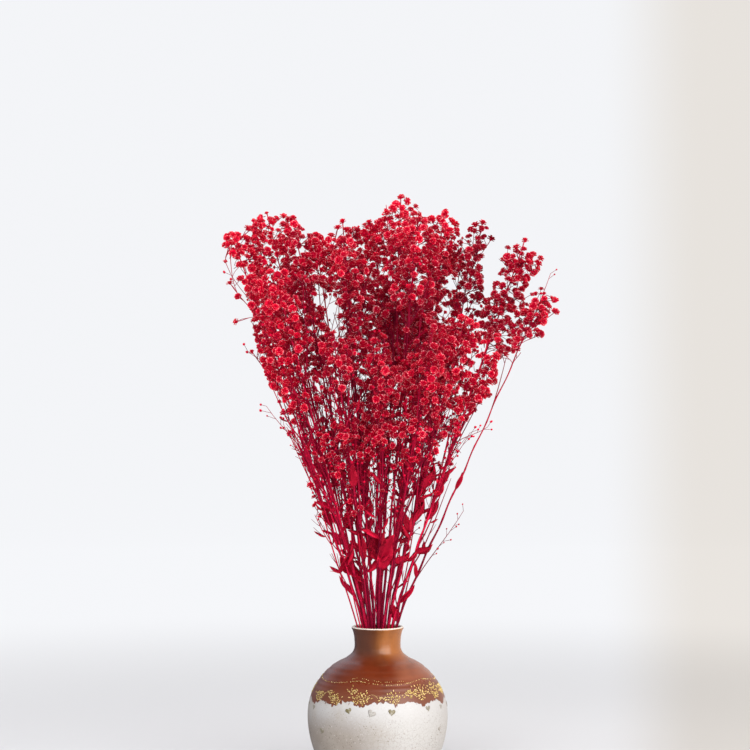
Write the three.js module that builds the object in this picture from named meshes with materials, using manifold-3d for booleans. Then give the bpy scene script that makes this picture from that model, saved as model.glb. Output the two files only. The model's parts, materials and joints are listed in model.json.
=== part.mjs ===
// A bunch of preserved, dyed gypsophila standing in a small-mouthed stoneware vase.
// Millimetres, +Z up. The origin is the middle of the vase's flat foot, -Y is the front.
//
// Each stem of the bunch is one spray. It stands on the vase's floor, goes on as a straight leader
// to the top of its cloud of florets, and carries a floret on each of its twigs and lance-shaped
// leaves at its nodes. Every spray keeps to its own share of a fan that spreads from the vase's
// mouth, so that no spray crosses its neighbour.

import * as THREE from "three";
import { mergeVertices } from "three/addons/utils/BufferGeometryUtils.js";
import Module from "manifold-3d";

const solids = await Module();
solids.setup();

// The vase.
const VASE_HEIGHT = 156;
const BELLY_RADIUS = 70;
const BELLY_Z = 68; // where the vase is widest
const BELLY_DROP = 85; // half height of the ellipse under the widest ring
const BELLY_RISE = 64; // half height of the ellipse over it
const SHOULDER_RADIUS = 42; // where the belly's curve gives way to the neck's
const NECK_RADIUS = 23;
const NECK_Z = 137;
const RIM_RADIUS = 26;
const FOOT_BEVEL = 1.5;
const WALL = 3.2;
const FLOOR = 6;
const VASE_SIDES = 30;
const OUTSIDE_CHORDS = 3; // for each of the profile's curves
const INSIDE_CHORDS = 2;

// The fan. Above the mouth every stem follows a straight line out of one apex on the vase's axis.
const FAN_APEX_Z = 120;
const FAN_START_Z = 180;
const NECK_REACH = 35; // how far a stem stands from the vase's axis in the neck, per unit of lean
const MOUTH_REACH = 42;
const STAND_GAP = 0.3; // between a stem's foot and the vase's floor
const SPRAY_GAP = 0.4; // between two sprays

// Stems and twigs.
const STEM_RADIUS = 1.45;
const STEM_SIDES = 4;
const TWIG_RADIUS = 0.6;
const TWIG_SIDES = 3;
const ROOT_SHARE = 0.5; // how thick a twig is at its root, as a share of its parent
const LEAST_SHARE = 0.1; // twigs leave a bough between these shares of its length
const MOST_SHARE = 0.86;
const TWIG_NOTCHES = 12; // the places between them that are tried
const LEAST_LEAN = 0.35; // and they leave it at an angle between these, in radians
const MOST_LEAN = 1.05;
const BOUGH_ROOM = 0.8; // the radius that a bough is reckoned to take up
const TWIG_GAP = 0.4;

// Florets.
const FLORET_RADIUS = 6.6;
const FLORET_CROWN = 3.6; // how far the middle stands over the petals' tips
const FLORET_CUP = 3.8; // how far the calyx hangs under them
const PETALS = 5;
const NOTCH_SHARE = 0.66; // the radius of the notch between two petals
const NOTCH_RISE = 1.2;
const DOME = 0.35; // how far a cloud's top falls away at its sides, as a share of its height
const TOP_HEAVY = 0.85; // under 1, more florets stand high in their cloud
const MOST_TRIES = 600;

// Leaves.
const LEAF_LENGTH = 28;
const LEAF_WIDTH = 5.6;
const LEAF_THICKNESS = 0.9;
const LEAF_ROWS = 3;
const LEAF_ARCH = 0.22; // how far a leaf's tip bends over, as a share of its length
const LEAF_CURL = 0.12; // and how much of its reach it loses by that
const LEAF_FOLD = 1; // how far its edges stand over its rib
const LEAF_TIP_ROOM = 1;
const LEAF_OPENINGS = [0.9, 0.6, 0.4, 0.25, 0.15]; // the slopes from its stem that it may have
const LEAF_TURNS = [0.3, -0.5, 1.1, -1.3, 1.9, -2.1]; // and its turns from its first direction
const LEAF_HEIGHTS = [195, 238, 280];
const LEAF_HEIGHT_RANGE = 45;

// Every spray leans right and back by so much for each millimetre that it rises, opens into its
// cloud of florets at the height "from" and ends at the height "to". The spread is half the cloud's
// width, again for each millimetre of rise.
const SPRAYS = [
  { name: "left_edge", right: -0.34, back: -0.03, from: 398, to: 548, spread: 0.08, florets: 20 },
  { name: "left_front", right: -0.26, back: -0.17, from: 368, to: 500, spread: 0.085, florets: 17 },
  { name: "left_crown", right: -0.25, back: 0.09, from: 455, to: 572, spread: 0.08, florets: 17 },
  { name: "left_inner", right: -0.19, back: -0.04, from: 430, to: 562, spread: 0.065, florets: 15 },
  { name: "left_back", right: -0.3, back: 0.22, from: 390, to: 520, spread: 0.085, florets: 14 },
  { name: "middle_left_front", right: -0.13, back: -0.27, from: 352, to: 448, spread: 0.085, florets: 14 },
  { name: "middle_left", right: -0.08, back: -0.13, from: 366, to: 540, spread: 0.07, florets: 16 },
  { name: "middle_left_crown", right: -0.08, back: 0.04, from: 470, to: 562, spread: 0.07, florets: 13 },
  { name: "middle_front", right: 0.02, back: -0.27, from: 346, to: 444, spread: 0.085, florets: 15 },
  { name: "middle_crown", right: 0.05, back: -0.03, from: 466, to: 584, spread: 0.07, florets: 18 },
  { name: "middle_right", right: 0.09, back: -0.16, from: 430, to: 558, spread: 0.075, florets: 17 },
  { name: "middle_right_front", right: 0.16, back: -0.28, from: 356, to: 458, spread: 0.085, florets: 14 },
  { name: "right_crown", right: 0.15, back: 0.03, from: 450, to: 572, spread: 0.07, florets: 15 },
  { name: "right_front", right: 0.25, back: -0.15, from: 372, to: 462, spread: 0.085, florets: 16 },
  { name: "right_airy", right: 0.24, back: 0.02, from: 440, to: 560, spread: 0.065, florets: 12 },
  { name: "right_top", right: 0.35, back: 0.01, from: 440, to: 542, spread: 0.07, florets: 15 },
  { name: "right_edge", right: 0.45, back: -0.03, from: 440, to: 488, spread: 0.065, florets: 12 },
  { name: "right_low", right: 0.34, back: -0.13, from: 372, to: 440, spread: 0.06, florets: 9 },
  { name: "back_left", right: -0.15, back: 0.21, from: 390, to: 548, spread: 0.085, florets: 15 },
  { name: "back_middle", right: 0.0, back: 0.19, from: 380, to: 560, spread: 0.085, florets: 16 },
  { name: "back_right", right: 0.16, back: 0.2, from: 390, to: 548, spread: 0.085, florets: 15 },
];

// A gap in the left half of the bunch, which no floret stands in from front to back.
const GAP = { x: -46, z: 476, width: 24, height: 56 };

// Numbers that look random but are evenly spread and always the same: fractions of the multiples
// of one irrational step for each axis.
const STEPS = [0.8191725134, 0.6710436067, 0.5497004779];
function even(index, axis) {
  return (0.5 + index * STEPS[axis]) % 1;
}

const shoulderTurn = Math.acos(SHOULDER_RADIUS / BELLY_RADIUS);
const shoulderZ = BELLY_Z + BELLY_RISE * Math.sin(shoulderTurn);

// The vase's outside, from the middle of its foot up to the rim's outer edge.
function outsideProfile() {
  const footTurn = -Math.asin(BELLY_Z / BELLY_DROP);
  const path = new THREE.Path();
  path.moveTo(0, 0);
  path.lineTo(BELLY_RADIUS * Math.cos(footTurn) - FOOT_BEVEL, 0);
  path.absellipse(0, BELLY_Z, BELLY_RADIUS, BELLY_DROP, footTurn + 0.02, 0, false);
  path.absellipse(0, BELLY_Z, BELLY_RADIUS, BELLY_RISE, 0, shoulderTurn, false);
  path.bezierCurveTo(33.5, shoulderZ + 4.6, NECK_RADIUS, NECK_Z - 10, NECK_RADIUS, NECK_Z);
  path.bezierCurveTo(
    NECK_RADIUS, NECK_Z + 8, RIM_RADIUS - 2, VASE_HEIGHT - 5, RIM_RADIUS, VASE_HEIGHT - 2);
  return path;
}

// The vase's inside, from the rim's outer edge over the lip and down to the middle of its floor.
function insideProfile() {
  const lip = RIM_RADIUS - WALL;
  const throat = NECK_RADIUS - WALL;
  const shoulder = SHOULDER_RADIUS - 2;
  const belly = BELLY_RADIUS - WALL;
  const wallTurn = Math.acos(shoulder / belly);
  const floorTurn = -Math.asin((BELLY_Z - FLOOR) / (BELLY_DROP - WALL));
  const path = new THREE.Path();
  path.moveTo(RIM_RADIUS, VASE_HEIGHT - 2);
  path.bezierCurveTo(RIM_RADIUS, VASE_HEIGHT + 0.6, lip, VASE_HEIGHT + 0.6, lip, VASE_HEIGHT - 2);
  path.bezierCurveTo(throat, VASE_HEIGHT - 8, throat, NECK_Z + 6, throat, NECK_Z - 2);
  path.bezierCurveTo(throat, NECK_Z - 12, 31, shoulderZ + 0.5, shoulder, shoulderZ - WALL);
  path.absellipse(0, BELLY_Z, belly, BELLY_RISE - WALL, wallTurn, 0, true);
  path.absellipse(0, BELLY_Z, belly, BELLY_DROP - WALL, 0, floorTurn, true);
  path.lineTo(0, FLOOR);
  return path;
}

// Points of a path whose curved stretches are cut into a few chords each.
function chords(path, perCurve) {
  const points = path.curves.flatMap((curve) => curve.getPoints(curve.isLineCurve ? 1 : perCurve));
  return points.filter((p, i) => i === 0 || p.distanceTo(points[i - 1]) > 0.2);
}

function vase() {
  const outside = chords(outsideProfile(), OUTSIDE_CHORDS);
  const inside = chords(insideProfile(), INSIDE_CHORDS);
  const geometry = new THREE.LatheGeometry([...outside, ...inside.slice(1)], VASE_SIDES);
  geometry.rotateX(Math.PI / 2); // the lathe turns about Y, and the vase stands along Z
  return geometry;
}

// A closed geometry as a solid that can be joined to others.
function solidOf(geometry) {
  const merged = mergeVertices(geometry, 1e-4);
  return new solids.Manifold(
    new solids.Mesh({
      numProp: 3,
      vertProperties: merged.attributes.position.array,
      triVerts: new Uint32Array(merged.index.array),
    }),
  );
}

function geometryOf(solid) {
  const mesh = solid.getMesh();
  const geometry = new THREE.BufferGeometry();
  geometry.setAttribute("position", new THREE.BufferAttribute(mesh.vertProperties, 3));
  geometry.setIndex(new THREE.BufferAttribute(mesh.triVerts, 1));
  geometry.computeVertexNormals();
  return geometry;
}

// How far the fan has opened at a height, for each unit of lean.
function fanReach(z) {
  return z - FAN_APEX_Z;
}

// A point at a height in a spray's share of the fan, to the right and back of the spray's axis.
function inFan(spray, z, right = 0, back = 0) {
  const reach = fanReach(z);
  return new THREE.Vector3((spray.right + right) * reach, (spray.back + back) * reach, z);
}

// The distance from a point to the border of its spray's share of the fan, which lies halfway to
// the next spray.
function clearance(spray, point) {
  const reach = fanReach(point.z);
  const right = point.x / reach;
  const back = point.y / reach;
  const slant = Math.sqrt(1 + right * right + back * back);
  const others = SPRAYS.filter((other) => other !== spray);
  return Math.min(
    ...others.map((other) => {
      const far = (right - other.right) ** 2 + (back - other.back) ** 2;
      const near = (right - spray.right) ** 2 + (back - spray.back) ** 2;
      const apart = Math.hypot(other.right - spray.right, other.back - spray.back);
      return (((far - near) / (2 * apart)) * reach) / slant;
    }),
  );
}

function inGap(place) {
  return Math.hypot((place.x - GAP.x) / (GAP.width / 2), (place.z - GAP.z) / (GAP.height / 2)) < 1;
}

// The shortest distance between two straight pieces, and between a straight piece and a point.
function gapBetween(a, b) {
  return Math.sqrt(a.distanceSqToLine3(b));
}

function gapTo(line, point) {
  return line.closestPointToPoint(point, true, new THREE.Vector3()).distanceTo(point);
}

// Whether a new twig, which leaves the bough "parent" and ends in a floret, keeps clear of
// everything that its spray already has.
function hasRoom(twig, parent, boughs) {
  const floretRoom = FLORET_RADIUS + BOUGH_ROOM + TWIG_GAP;
  return boughs.every((other) => {
    if (gapTo(other.line, twig.end) < floretRoom) return false;
    if (gapTo(twig, other.line.end) < floretRoom) return false;
    if (other.line.end.distanceTo(twig.end) < 2 * FLORET_RADIUS) return false;
    return other === parent || gapBetween(other.line, twig) > 2 * BOUGH_ROOM + TWIG_GAP;
  });
}

// The shortest twig that leaves a bough at a fair angle, reaches the place and has room.
function twigTo(place, boughs) {
  const options = [];
  boughs.forEach((parent) => {
    const along = parent.line.delta(new THREE.Vector3());
    for (let notch = 0; notch <= TWIG_NOTCHES; notch++) {
      const share = THREE.MathUtils.lerp(LEAST_SHARE, MOST_SHARE, notch / TWIG_NOTCHES);
      const twig = new THREE.Line3(parent.line.at(share, new THREE.Vector3()), place);
      const lean = twig.delta(new THREE.Vector3()).angleTo(along);
      if (lean > LEAST_LEAN && lean < MOST_LEAN) options.push({ twig, parent, share });
    }
  });
  options.sort((a, b) => a.twig.distanceSq() - b.twig.distanceSq());
  return options.find(({ twig, parent }) => hasRoom(twig, parent, boughs));
}

// The boughs of a spray: the leader, which goes on from the stem to the spray's top, and a twig to
// every other floret. The florets' places are evenly spread in the spray's share of the fan, under
// a domed top.
function boughsOf(spray) {
  const leader = new THREE.Line3(inFan(spray, FAN_START_Z), inFan(spray, spray.to));
  const boughs = [{ line: leader, thickness: STEM_RADIUS }];
  for (let i = 1; boughs.length < spray.florets && i < MOST_TRIES; i++) {
    const turn = 2 * Math.PI * even(i, 0);
    const out = Math.sqrt(even(i, 1));
    const top = spray.to - (spray.to - spray.from) * DOME * out * out;
    const z = THREE.MathUtils.lerp(spray.from, top, even(i, 2) ** TOP_HEAVY);
    const aside = spray.spread * out;
    const place = inFan(spray, z, aside * Math.cos(turn), aside * Math.sin(turn));
    if (inGap(place) || clearance(spray, place) < FLORET_RADIUS + SPRAY_GAP / 2) continue;
    const found = twigTo(place, boughs);
    if (!found) continue;
    const parentRadius = THREE.MathUtils.lerp(found.parent.thickness, TWIG_RADIUS, found.share);
    boughs.push({ line: found.twig, thickness: parentRadius * ROOT_SHARE });
  }
  return boughs;
}

// The stem's way from the vase's floor up through its mouth.
function stemPath(spray) {
  const at = (reach, z) => new THREE.Vector3(spray.right * reach, spray.back * reach, z);
  return [at(NECK_REACH, FLOOR + STAND_GAP), at(NECK_REACH, NECK_Z), at(MOUTH_REACH, VASE_HEIGHT)];
}

// A direction square to another.
function sideways(axis) {
  const help = Math.abs(axis.z) < 0.9 ? new THREE.Vector3(0, 0, 1) : new THREE.Vector3(1, 0, 0);
  return new THREE.Vector3().crossVectors(axis, help).normalize();
}

// The points of a ring about a centre and an axis, each at its own angle, radius and height.
function ring(centre, axis, reference, count, spot) {
  const across = reference.clone().addScaledVector(axis, -reference.dot(axis)).normalize();
  const beside = new THREE.Vector3().crossVectors(axis, across);
  return Array.from({ length: count }, (_, i) => {
    const { angle, radius, height } = spot(i);
    return centre.clone()
      .addScaledVector(across, radius * Math.cos(angle))
      .addScaledVector(beside, radius * Math.sin(angle))
      .addScaledVector(axis, height);
  });
}

// A bough with its floret as one closed mesh: a tube of few sides along a path, which opens into a
// rim of petal tips and notches and closes in a raised crown.
function floweringBough(path, radii, sides, turn) {
  const tip = path[path.length - 1];
  const reference = sideways(tip.clone().sub(path[0]).normalize());
  const rim = 2 * PETALS;
  const points = path.flatMap((centre, station) => {
    const before = path[Math.max(station - 1, 0)];
    const after = path[Math.min(station + 1, path.length - 1)];
    const axis = after.clone().sub(before).normalize();
    const height = centre === tip ? -FLORET_CUP : 0;
    const radius = radii[station];
    const spot = (i) => ({ angle: (2 * Math.PI * i) / sides, radius, height });
    return ring(centre, axis, reference, sides, spot);
  });
  const neck = points.length - sides;
  const petals = points.length;
  const crown = petals + rim;
  const axis = tip.clone().sub(path[path.length - 2]).normalize();
  const petalSpot = (i) => {
    const isTip = i % 2 === 0;
    const radius = FLORET_RADIUS * (isTip ? 1 : NOTCH_SHARE);
    return { angle: turn + (2 * Math.PI * i) / rim, radius, height: isTip ? 0 : NOTCH_RISE };
  };
  points.push(...ring(tip, axis, reference, rim, petalSpot));
  points.push(tip.clone().addScaledVector(axis, FLORET_CROWN));

  const faces = [];
  for (let i = 2; i < sides; i++) faces.push([0, i, i - 1]);
  for (let low = 0; low < neck; low += sides)
    for (let i = 0; i < sides; i++) {
      const j = (i + 1) % sides;
      faces.push([low + i, low + j, low + sides + j], [low + i, low + sides + j, low + sides + i]);
    }
  let under = 0; // walks round the neck while the rim is walked once
  for (let i = 0; i < rim; i++) {
    const next = (i + 1) % rim;
    faces.push([neck + (under % sides), petals + next, petals + i]);
    if (Math.round(((i + 1) * sides) / rim) > under) {
      faces.push([neck + (under % sides), neck + ((under + 1) % sides), petals + next]);
      under += 1;
    }
    faces.push([petals + i, petals + next, crown]);
  }
  return solidFrom(points, faces);
}

function solidFrom(points, faces) {
  const geometry = new THREE.BufferGeometry().setFromPoints(points);
  geometry.setIndex(faces.flat());
  return solidOf(geometry);
}

// A lance-shaped leaf: a thin arched blade with a diamond for its section, thickest along its rib.
function leaf(root, direction, up, length) {
  const side = new THREE.Vector3().crossVectors(direction, up).normalize();
  const points = [];
  for (let i = 0; i <= LEAF_ROWS; i++) {
    const t = i / LEAF_ROWS;
    const rib = root.clone()
      .addScaledVector(direction, length * t * (1 - LEAF_CURL * t))
      .addScaledVector(up, length * LEAF_ARCH * t * t);
    if (i === 0 || i === LEAF_ROWS) {
      points.push(rib);
      continue;
    }
    const half = (LEAF_WIDTH / 2) * Math.sin(Math.PI * t ** 0.8);
    points.push(
      rib.clone().addScaledVector(side, half).addScaledVector(up, LEAF_FOLD),
      rib.clone().addScaledVector(up, LEAF_THICKNESS / 2),
      rib.clone().addScaledVector(side, -half).addScaledVector(up, LEAF_FOLD),
      rib.clone().addScaledVector(up, -LEAF_THICKNESS / 2));
  }
  const last = points.length - 1;
  const faces = [];
  for (let k = 0; k < 4; k++) {
    const n = (k + 1) % 4;
    faces.push([0, 1 + k, 1 + n], [last - 4 + k, last, last - 4 + n]);
    for (let low = 1; low < last - 4; low += 4)
      faces.push([low + k, low + 4 + k, low + 4 + n], [low + k, low + 4 + n, low + n]);
  }
  return solidFrom(points, faces);
}

// Whether a leaf's blade stays in its spray's share of the fan and off the spray's own twigs.
function leafFits(spray, boughs, blade) {
  const halfway = blade.getCenter(new THREE.Vector3());
  if (clearance(spray, blade.end) < LEAF_TIP_ROOM) return false;
  if (clearance(spray, halfway) < LEAF_WIDTH / 2 + LEAF_TIP_ROOM / 2) return false;
  const free = new THREE.Line3(blade.at(0.2, new THREE.Vector3()), blade.end);
  return boughs.slice(1).every((other) => gapBetween(other.line, free) > LEAF_WIDTH);
}

// The leaf at a node, turned and opened until it has room, or nothing where it finds none.
function leafAt(spray, boughs, root, firstTurn, length) {
  const along = boughs[0].line.delta(new THREE.Vector3()).normalize();
  for (const open of LEAF_OPENINGS)
    for (const turned of LEAF_TURNS) {
      const turn = firstTurn + turned;
      const away = new THREE.Vector3(Math.cos(turn), Math.sin(turn), 0);
      const direction = along.clone().addScaledVector(away, open).normalize();
      const up = away.clone().addScaledVector(direction, -away.dot(direction)).normalize();
      const tip = root.clone()
        .addScaledVector(direction, length * (1 - LEAF_CURL))
        .addScaledVector(up, length * LEAF_ARCH);
      if (leafFits(spray, boughs, new THREE.Line3(root, tip)))
        return [leaf(root, direction, up, length)];
    }
  return [];
}

// The leaves of a spray, which stand by turns on its outer and its inner side.
function leavesOf(spray, index, boughs) {
  const outward = Math.atan2(spray.back, spray.right);
  return LEAF_HEIGHTS.flatMap((z, node) => {
    const root = inFan(spray, z + LEAF_HEIGHT_RANGE * even(index, node));
    const length = LEAF_LENGTH * (0.8 + 0.4 * even(index + node, 1));
    return leafAt(spray, boughs, root, outward + Math.PI * (node % 2), length);
  });
}

function spraySolid(spray, index) {
  const boughs = boughsOf(spray);
  const parts = boughs.map(({ line, thickness }, order) => {
    const isLeader = order === 0;
    const below = isLeader ? stemPath(spray) : [];
    const radii = [...below.map(() => STEM_RADIUS), thickness, TWIG_RADIUS];
    const sides = isLeader ? STEM_SIDES : TWIG_SIDES;
    return floweringBough([...below, line.start, line.end], radii, sides, even(order + index, 1));
  });
  parts.push(...leavesOf(spray, index, boughs));
  return parts.reduce((whole, piece) => whole.add(piece));
}

function vaseMesh() {
  const glaze = new THREE.MeshStandardMaterial({ color: 0x9a5a34, roughness: 0.25, metalness: 0 });
  const mesh = new THREE.Mesh(vase(), glaze);
  mesh.name = "vase";
  return mesh;
}

function sprayMesh(spray, index) {
  const dyed = new THREE.MeshStandardMaterial({ color: 0xb8102c, roughness: 0.7, metalness: 0 });
  const mesh = new THREE.Mesh(geometryOf(spraySolid(spray, index)), dyed);
  mesh.name = `spray_${spray.name}`;
  return mesh;
}

const arrangement = new THREE.Group();
arrangement.add(vaseMesh(), ...SPRAYS.map(sprayMesh));

export default arrangement;
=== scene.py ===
# %% [markdown]
# # A bunch of preserved gypsophila in its vase
#
# The object is a bunch of cut gypsophila stems, dried, dyed crimson and stood in a small-mouthed
# stoneware vase. The CAD model holds its construction: the vase, and one solid for each spray with
# its stem, boughs and a few large florets. This lesson loads that model as a fixed frame and grows
# the fine bunch on the same lines, so that every fine piece keeps its solid's form and place.

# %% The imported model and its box
import json
import math
from collections import namedtuple

import bmesh
import bpy
import numpy as np
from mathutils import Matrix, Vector

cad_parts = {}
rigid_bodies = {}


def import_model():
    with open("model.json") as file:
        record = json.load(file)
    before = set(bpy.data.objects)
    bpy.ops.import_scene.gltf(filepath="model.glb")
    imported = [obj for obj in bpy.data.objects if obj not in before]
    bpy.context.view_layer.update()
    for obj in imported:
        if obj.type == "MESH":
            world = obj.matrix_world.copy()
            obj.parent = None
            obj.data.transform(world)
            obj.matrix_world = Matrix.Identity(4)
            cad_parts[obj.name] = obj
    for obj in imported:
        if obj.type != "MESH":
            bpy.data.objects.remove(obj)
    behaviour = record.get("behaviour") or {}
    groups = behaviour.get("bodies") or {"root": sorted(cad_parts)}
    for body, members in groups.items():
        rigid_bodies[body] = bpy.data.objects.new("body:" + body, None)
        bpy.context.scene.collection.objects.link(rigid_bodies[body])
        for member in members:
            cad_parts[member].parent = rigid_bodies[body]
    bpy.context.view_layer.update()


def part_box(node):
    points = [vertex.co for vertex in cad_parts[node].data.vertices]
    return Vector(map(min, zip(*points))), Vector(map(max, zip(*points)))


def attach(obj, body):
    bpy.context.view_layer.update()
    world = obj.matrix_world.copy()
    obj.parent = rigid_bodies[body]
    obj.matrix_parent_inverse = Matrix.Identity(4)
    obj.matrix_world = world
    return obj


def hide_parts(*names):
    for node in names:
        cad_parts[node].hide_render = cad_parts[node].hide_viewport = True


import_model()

MM = 0.001  # the growth rules below count in millimetres, and Blender counts in metres

# %% [markdown]
# ## Camera
#
# The photograph was taken from about two metres away with a long lens, level with the middle of
# the flowers. At that distance one millimetre at the vase's axis is one pixel of the 750 pixel
# frame. The camera comes first, because everything later is judged through it.

# %% The camera at the photograph's angle
FRAME_PIXELS = 750
FOCAL_PIXELS = 2187
CAMERA_DISTANCE = 2187  # millimetres from the vase's axis
CAMERA_HEIGHT = 407
CAMERA_ASIDE = -2.6
SENSOR_WIDTH = 36

camera_data = bpy.data.cameras.new("camera")
camera_data.sensor_width = SENSOR_WIDTH
camera_data.lens = SENSOR_WIDTH * FOCAL_PIXELS / FRAME_PIXELS
camera = bpy.data.objects.new("camera", camera_data)
camera.location = (CAMERA_ASIDE * MM, -CAMERA_DISTANCE * MM, CAMERA_HEIGHT * MM)
camera.rotation_euler = (math.pi / 2, 0, 0)
bpy.context.scene.collection.objects.link(camera)
bpy.context.scene.camera = camera
print("lens", round(camera_data.lens, 1), "mm")

# %% [markdown]
# ## Studio
#
# A floor and a wall behind it would show their corner from other sides. So a pale floor sweeps up
# all round into a pale wall, and no view shows an edge. The far part glows a little by itself: that
# keeps the wall as even as the one in the photograph. It is cool grey, and cream at the right of
# the camera's view, where a pool of warm light is painted on. Under the vase the floor is plain and
# matt, and takes a soft shadow.

# %% Helpers for node trees
def put(tree, kind, inputs=None, **settings):
    """A new node with its settings. Each input gets a value, or a link if a socket is given."""
    made = tree.nodes.new(kind)
    for name, value in settings.items():
        setattr(made, name, value)
    for name, value in (inputs or {}).items():
        if isinstance(value, bpy.types.NodeSocket):
            tree.links.new(value, made.inputs[name])
        else:
            made.inputs[name].default_value = value
    return made


def calculate(tree, operation, *values):
    """The output of a Math node."""
    return put(tree, "ShaderNodeMath", dict(enumerate(values)), operation=operation).outputs[0]


def ramp(tree, value, low, high):
    """A smooth step from 0 at low to 1 at high."""
    inputs = {"Value": value, "From Min": low, "From Max": high}
    settings = {"interpolation_type": "SMOOTHSTEP"}
    return put(tree, "ShaderNodeMapRange", inputs, **settings).outputs["Result"]


def mixed(tree, share, first, second, blend="MIX"):
    """Two colours mixed by a share."""
    node = put(tree, "ShaderNodeMix", {"Factor": share}, data_type="RGBA", blend_type=blend)
    for socket, value in ((node.inputs[6], first), (node.inputs[7], second)):
        if isinstance(value, bpy.types.NodeSocket):
            tree.links.new(value, socket)
        else:
            socket.default_value = (*value, 1)
    return node.outputs[2]


def object_place(tree):
    """The place of each spot in the object's own coordinates."""
    return put(tree, "ShaderNodeTexCoord").outputs["Object"]


def noise(tree, place, scale, detail):
    """Soft clouds from 0 to 1."""
    inputs = {"Vector": place, "Scale": scale, "Detail": detail}
    return put(tree, "ShaderNodeTexNoise", inputs).outputs[0]


def stored_value(tree, name):
    """A value that is kept on the mesh's points."""
    return put(tree, "ShaderNodeAttribute", attribute_name=name).outputs["Fac"]


def new_material(name, **constants):
    """A material with one Principled shader, whose even values are set on the shader itself."""
    material = bpy.data.materials.new(name)
    material.use_nodes = True
    tree = material.node_tree
    shader = tree.nodes["Principled BSDF"]
    for label, value in constants.items():
        shader.inputs[label.replace("_", " ")].default_value = value
    return material, tree, shader


# %% The sweep, as floor and wall in one
FLOOR_RADIUS = 3.0
SWEEP_RADIUS = 0.9
WALL_TOP = 2.6
SWEEP_SIDES = 96
BEND_POINTS = 13
FLOOR_GREY = (0.60, 0.61, 0.625)
# The cream colours are a painted pool of warm light on the floor and wall at the right of the camera's
# view
FLOOR_WARM_LIT = (0.50, 0.485, 0.46)
COOL_WALL = (0.90, 0.91, 0.935)
WARM_LIT_WALL = (0.80, 0.765, 0.725)
BLACK = (0, 0, 0)
GLOW_FROM, GLOW_FULL = 0.25, 1.6  # distances from the vase's foot
EYE_BACK, LEAST_DEPTH = 2.19, 0.4  # depth is reckoned from the camera, and is never less than this
WARM_LIGHT_FROM, WARM_LIGHT_FULL = 0.10, 0.15  # how far to the right, for each metre of depth
FADE_FROM, FADE_FULL = -1.5, 0.18  # from front to back, the painted warm light comes in between these places


def revolve(profile, sides):
    """Vertices and faces of a profile turned about the Z axis. A point on the axis is one pole."""
    turns = np.arange(sides) * 2 * math.pi / sides
    vertices, rings, faces = [], [], []
    for radius, height in profile:
        rings.append((len(vertices), radius > 1e-9))
        spots = turns if radius > 1e-9 else [0.0]
        vertices += [(radius * math.cos(t), radius * math.sin(t), height) for t in spots]
    for (low, low_open), (high, high_open) in zip(rings, rings[1:]):
        for i in range(sides):
            j = (i + 1) % sides
            if low_open and high_open:
                faces.append((low + i, low + j, high + j, high + i))
            elif low_open:
                faces.append((low + i, low + j, high))
            elif high_open:
                faces.append((low, high + j, high + i))
    return vertices, faces


def mesh_object(name, vertices, faces, material=None, outward=True):
    """A smooth mesh object at the origin, with its faces turned outwards."""
    mesh = bpy.data.meshes.new(name)
    mesh.from_pydata([tuple(v) for v in vertices], [], faces)
    if outward:
        shell = bmesh.new()
        shell.from_mesh(mesh)
        bmesh.ops.recalc_face_normals(shell, faces=shell.faces)
        shell.to_mesh(mesh)
        shell.free()
    mesh.shade_smooth()
    if material:
        mesh.materials.append(material)
    made = bpy.data.objects.new(name, mesh)
    bpy.context.scene.collection.objects.link(made)
    return made


def studio_paper():
    """Matt floor under the object. Farther away it glows by itself: cool, with a painted pool of warm
    light at the right.
    """
    paper, tree, shader = new_material("studio_paper", Roughness=0.9, Specular_IOR_Level=0.1,
                                       Emission_Strength=1.0)
    place = object_place(tree)
    spot = put(tree, "ShaderNodeSeparateXYZ", {0: place}).outputs
    far = put(tree, "ShaderNodeVectorMath", {0: place}, operation="LENGTH").outputs["Value"]
    glow = ramp(tree, far, GLOW_FROM, GLOW_FULL)
    depth = calculate(tree, "MAXIMUM", calculate(tree, "ADD", spot["Y"], EYE_BACK), LEAST_DEPTH)
    warm_light = ramp(tree, calculate(tree, "DIVIDE", spot["X"], depth), WARM_LIGHT_FROM, WARM_LIGHT_FULL)
    warm_light = calculate(tree, "MULTIPLY", warm_light, ramp(tree, spot["Y"], FADE_FROM, FADE_FULL))
    floor_colour = mixed(tree, warm_light, FLOOR_GREY, FLOOR_WARM_LIT)
    wall_colour = mixed(tree, warm_light, COOL_WALL, WARM_LIT_WALL)
    tree.links.new(mixed(tree, glow, floor_colour, BLACK), shader.inputs["Base Color"])
    tree.links.new(mixed(tree, glow, BLACK, wall_colour), shader.inputs["Emission Color"])
    return paper


turns = np.linspace(0, math.pi / 2, BEND_POINTS)
bend = [(FLOOR_RADIUS + SWEEP_RADIUS * math.sin(t), SWEEP_RADIUS * (1 - math.cos(t))) for t in turns]
floor = [(0, 0), (0.3, 0), (1, 0), (2, 0)]
wall = [(FLOOR_RADIUS + SWEEP_RADIUS, WALL_TOP)]
sweep_shape = revolve(floor + bend + wall, SWEEP_SIDES)
sweep = mesh_object("studio_sweep", *sweep_shape, studio_paper(), outward=False)
sweep.visible_shadow = False
sweep.visible_glossy = False
print("sweep of", len(sweep.data.polygons), "faces")

# %% [markdown]
# ## Light
#
# The light in the photograph comes from one large soft source at the right, in pale surroundings.
# A big area light stands for it, and it alone mirrors in the glaze. Two more fill from the front
# and above. Lamps alone would do for the flowers, but a glaze shows all that stands around it, so
# the world gives the rest of the reflections: cool at the left, dim in front and bright at the
# right.

# %% The lights
AIM = Vector((0, 0, 0.38))


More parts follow.
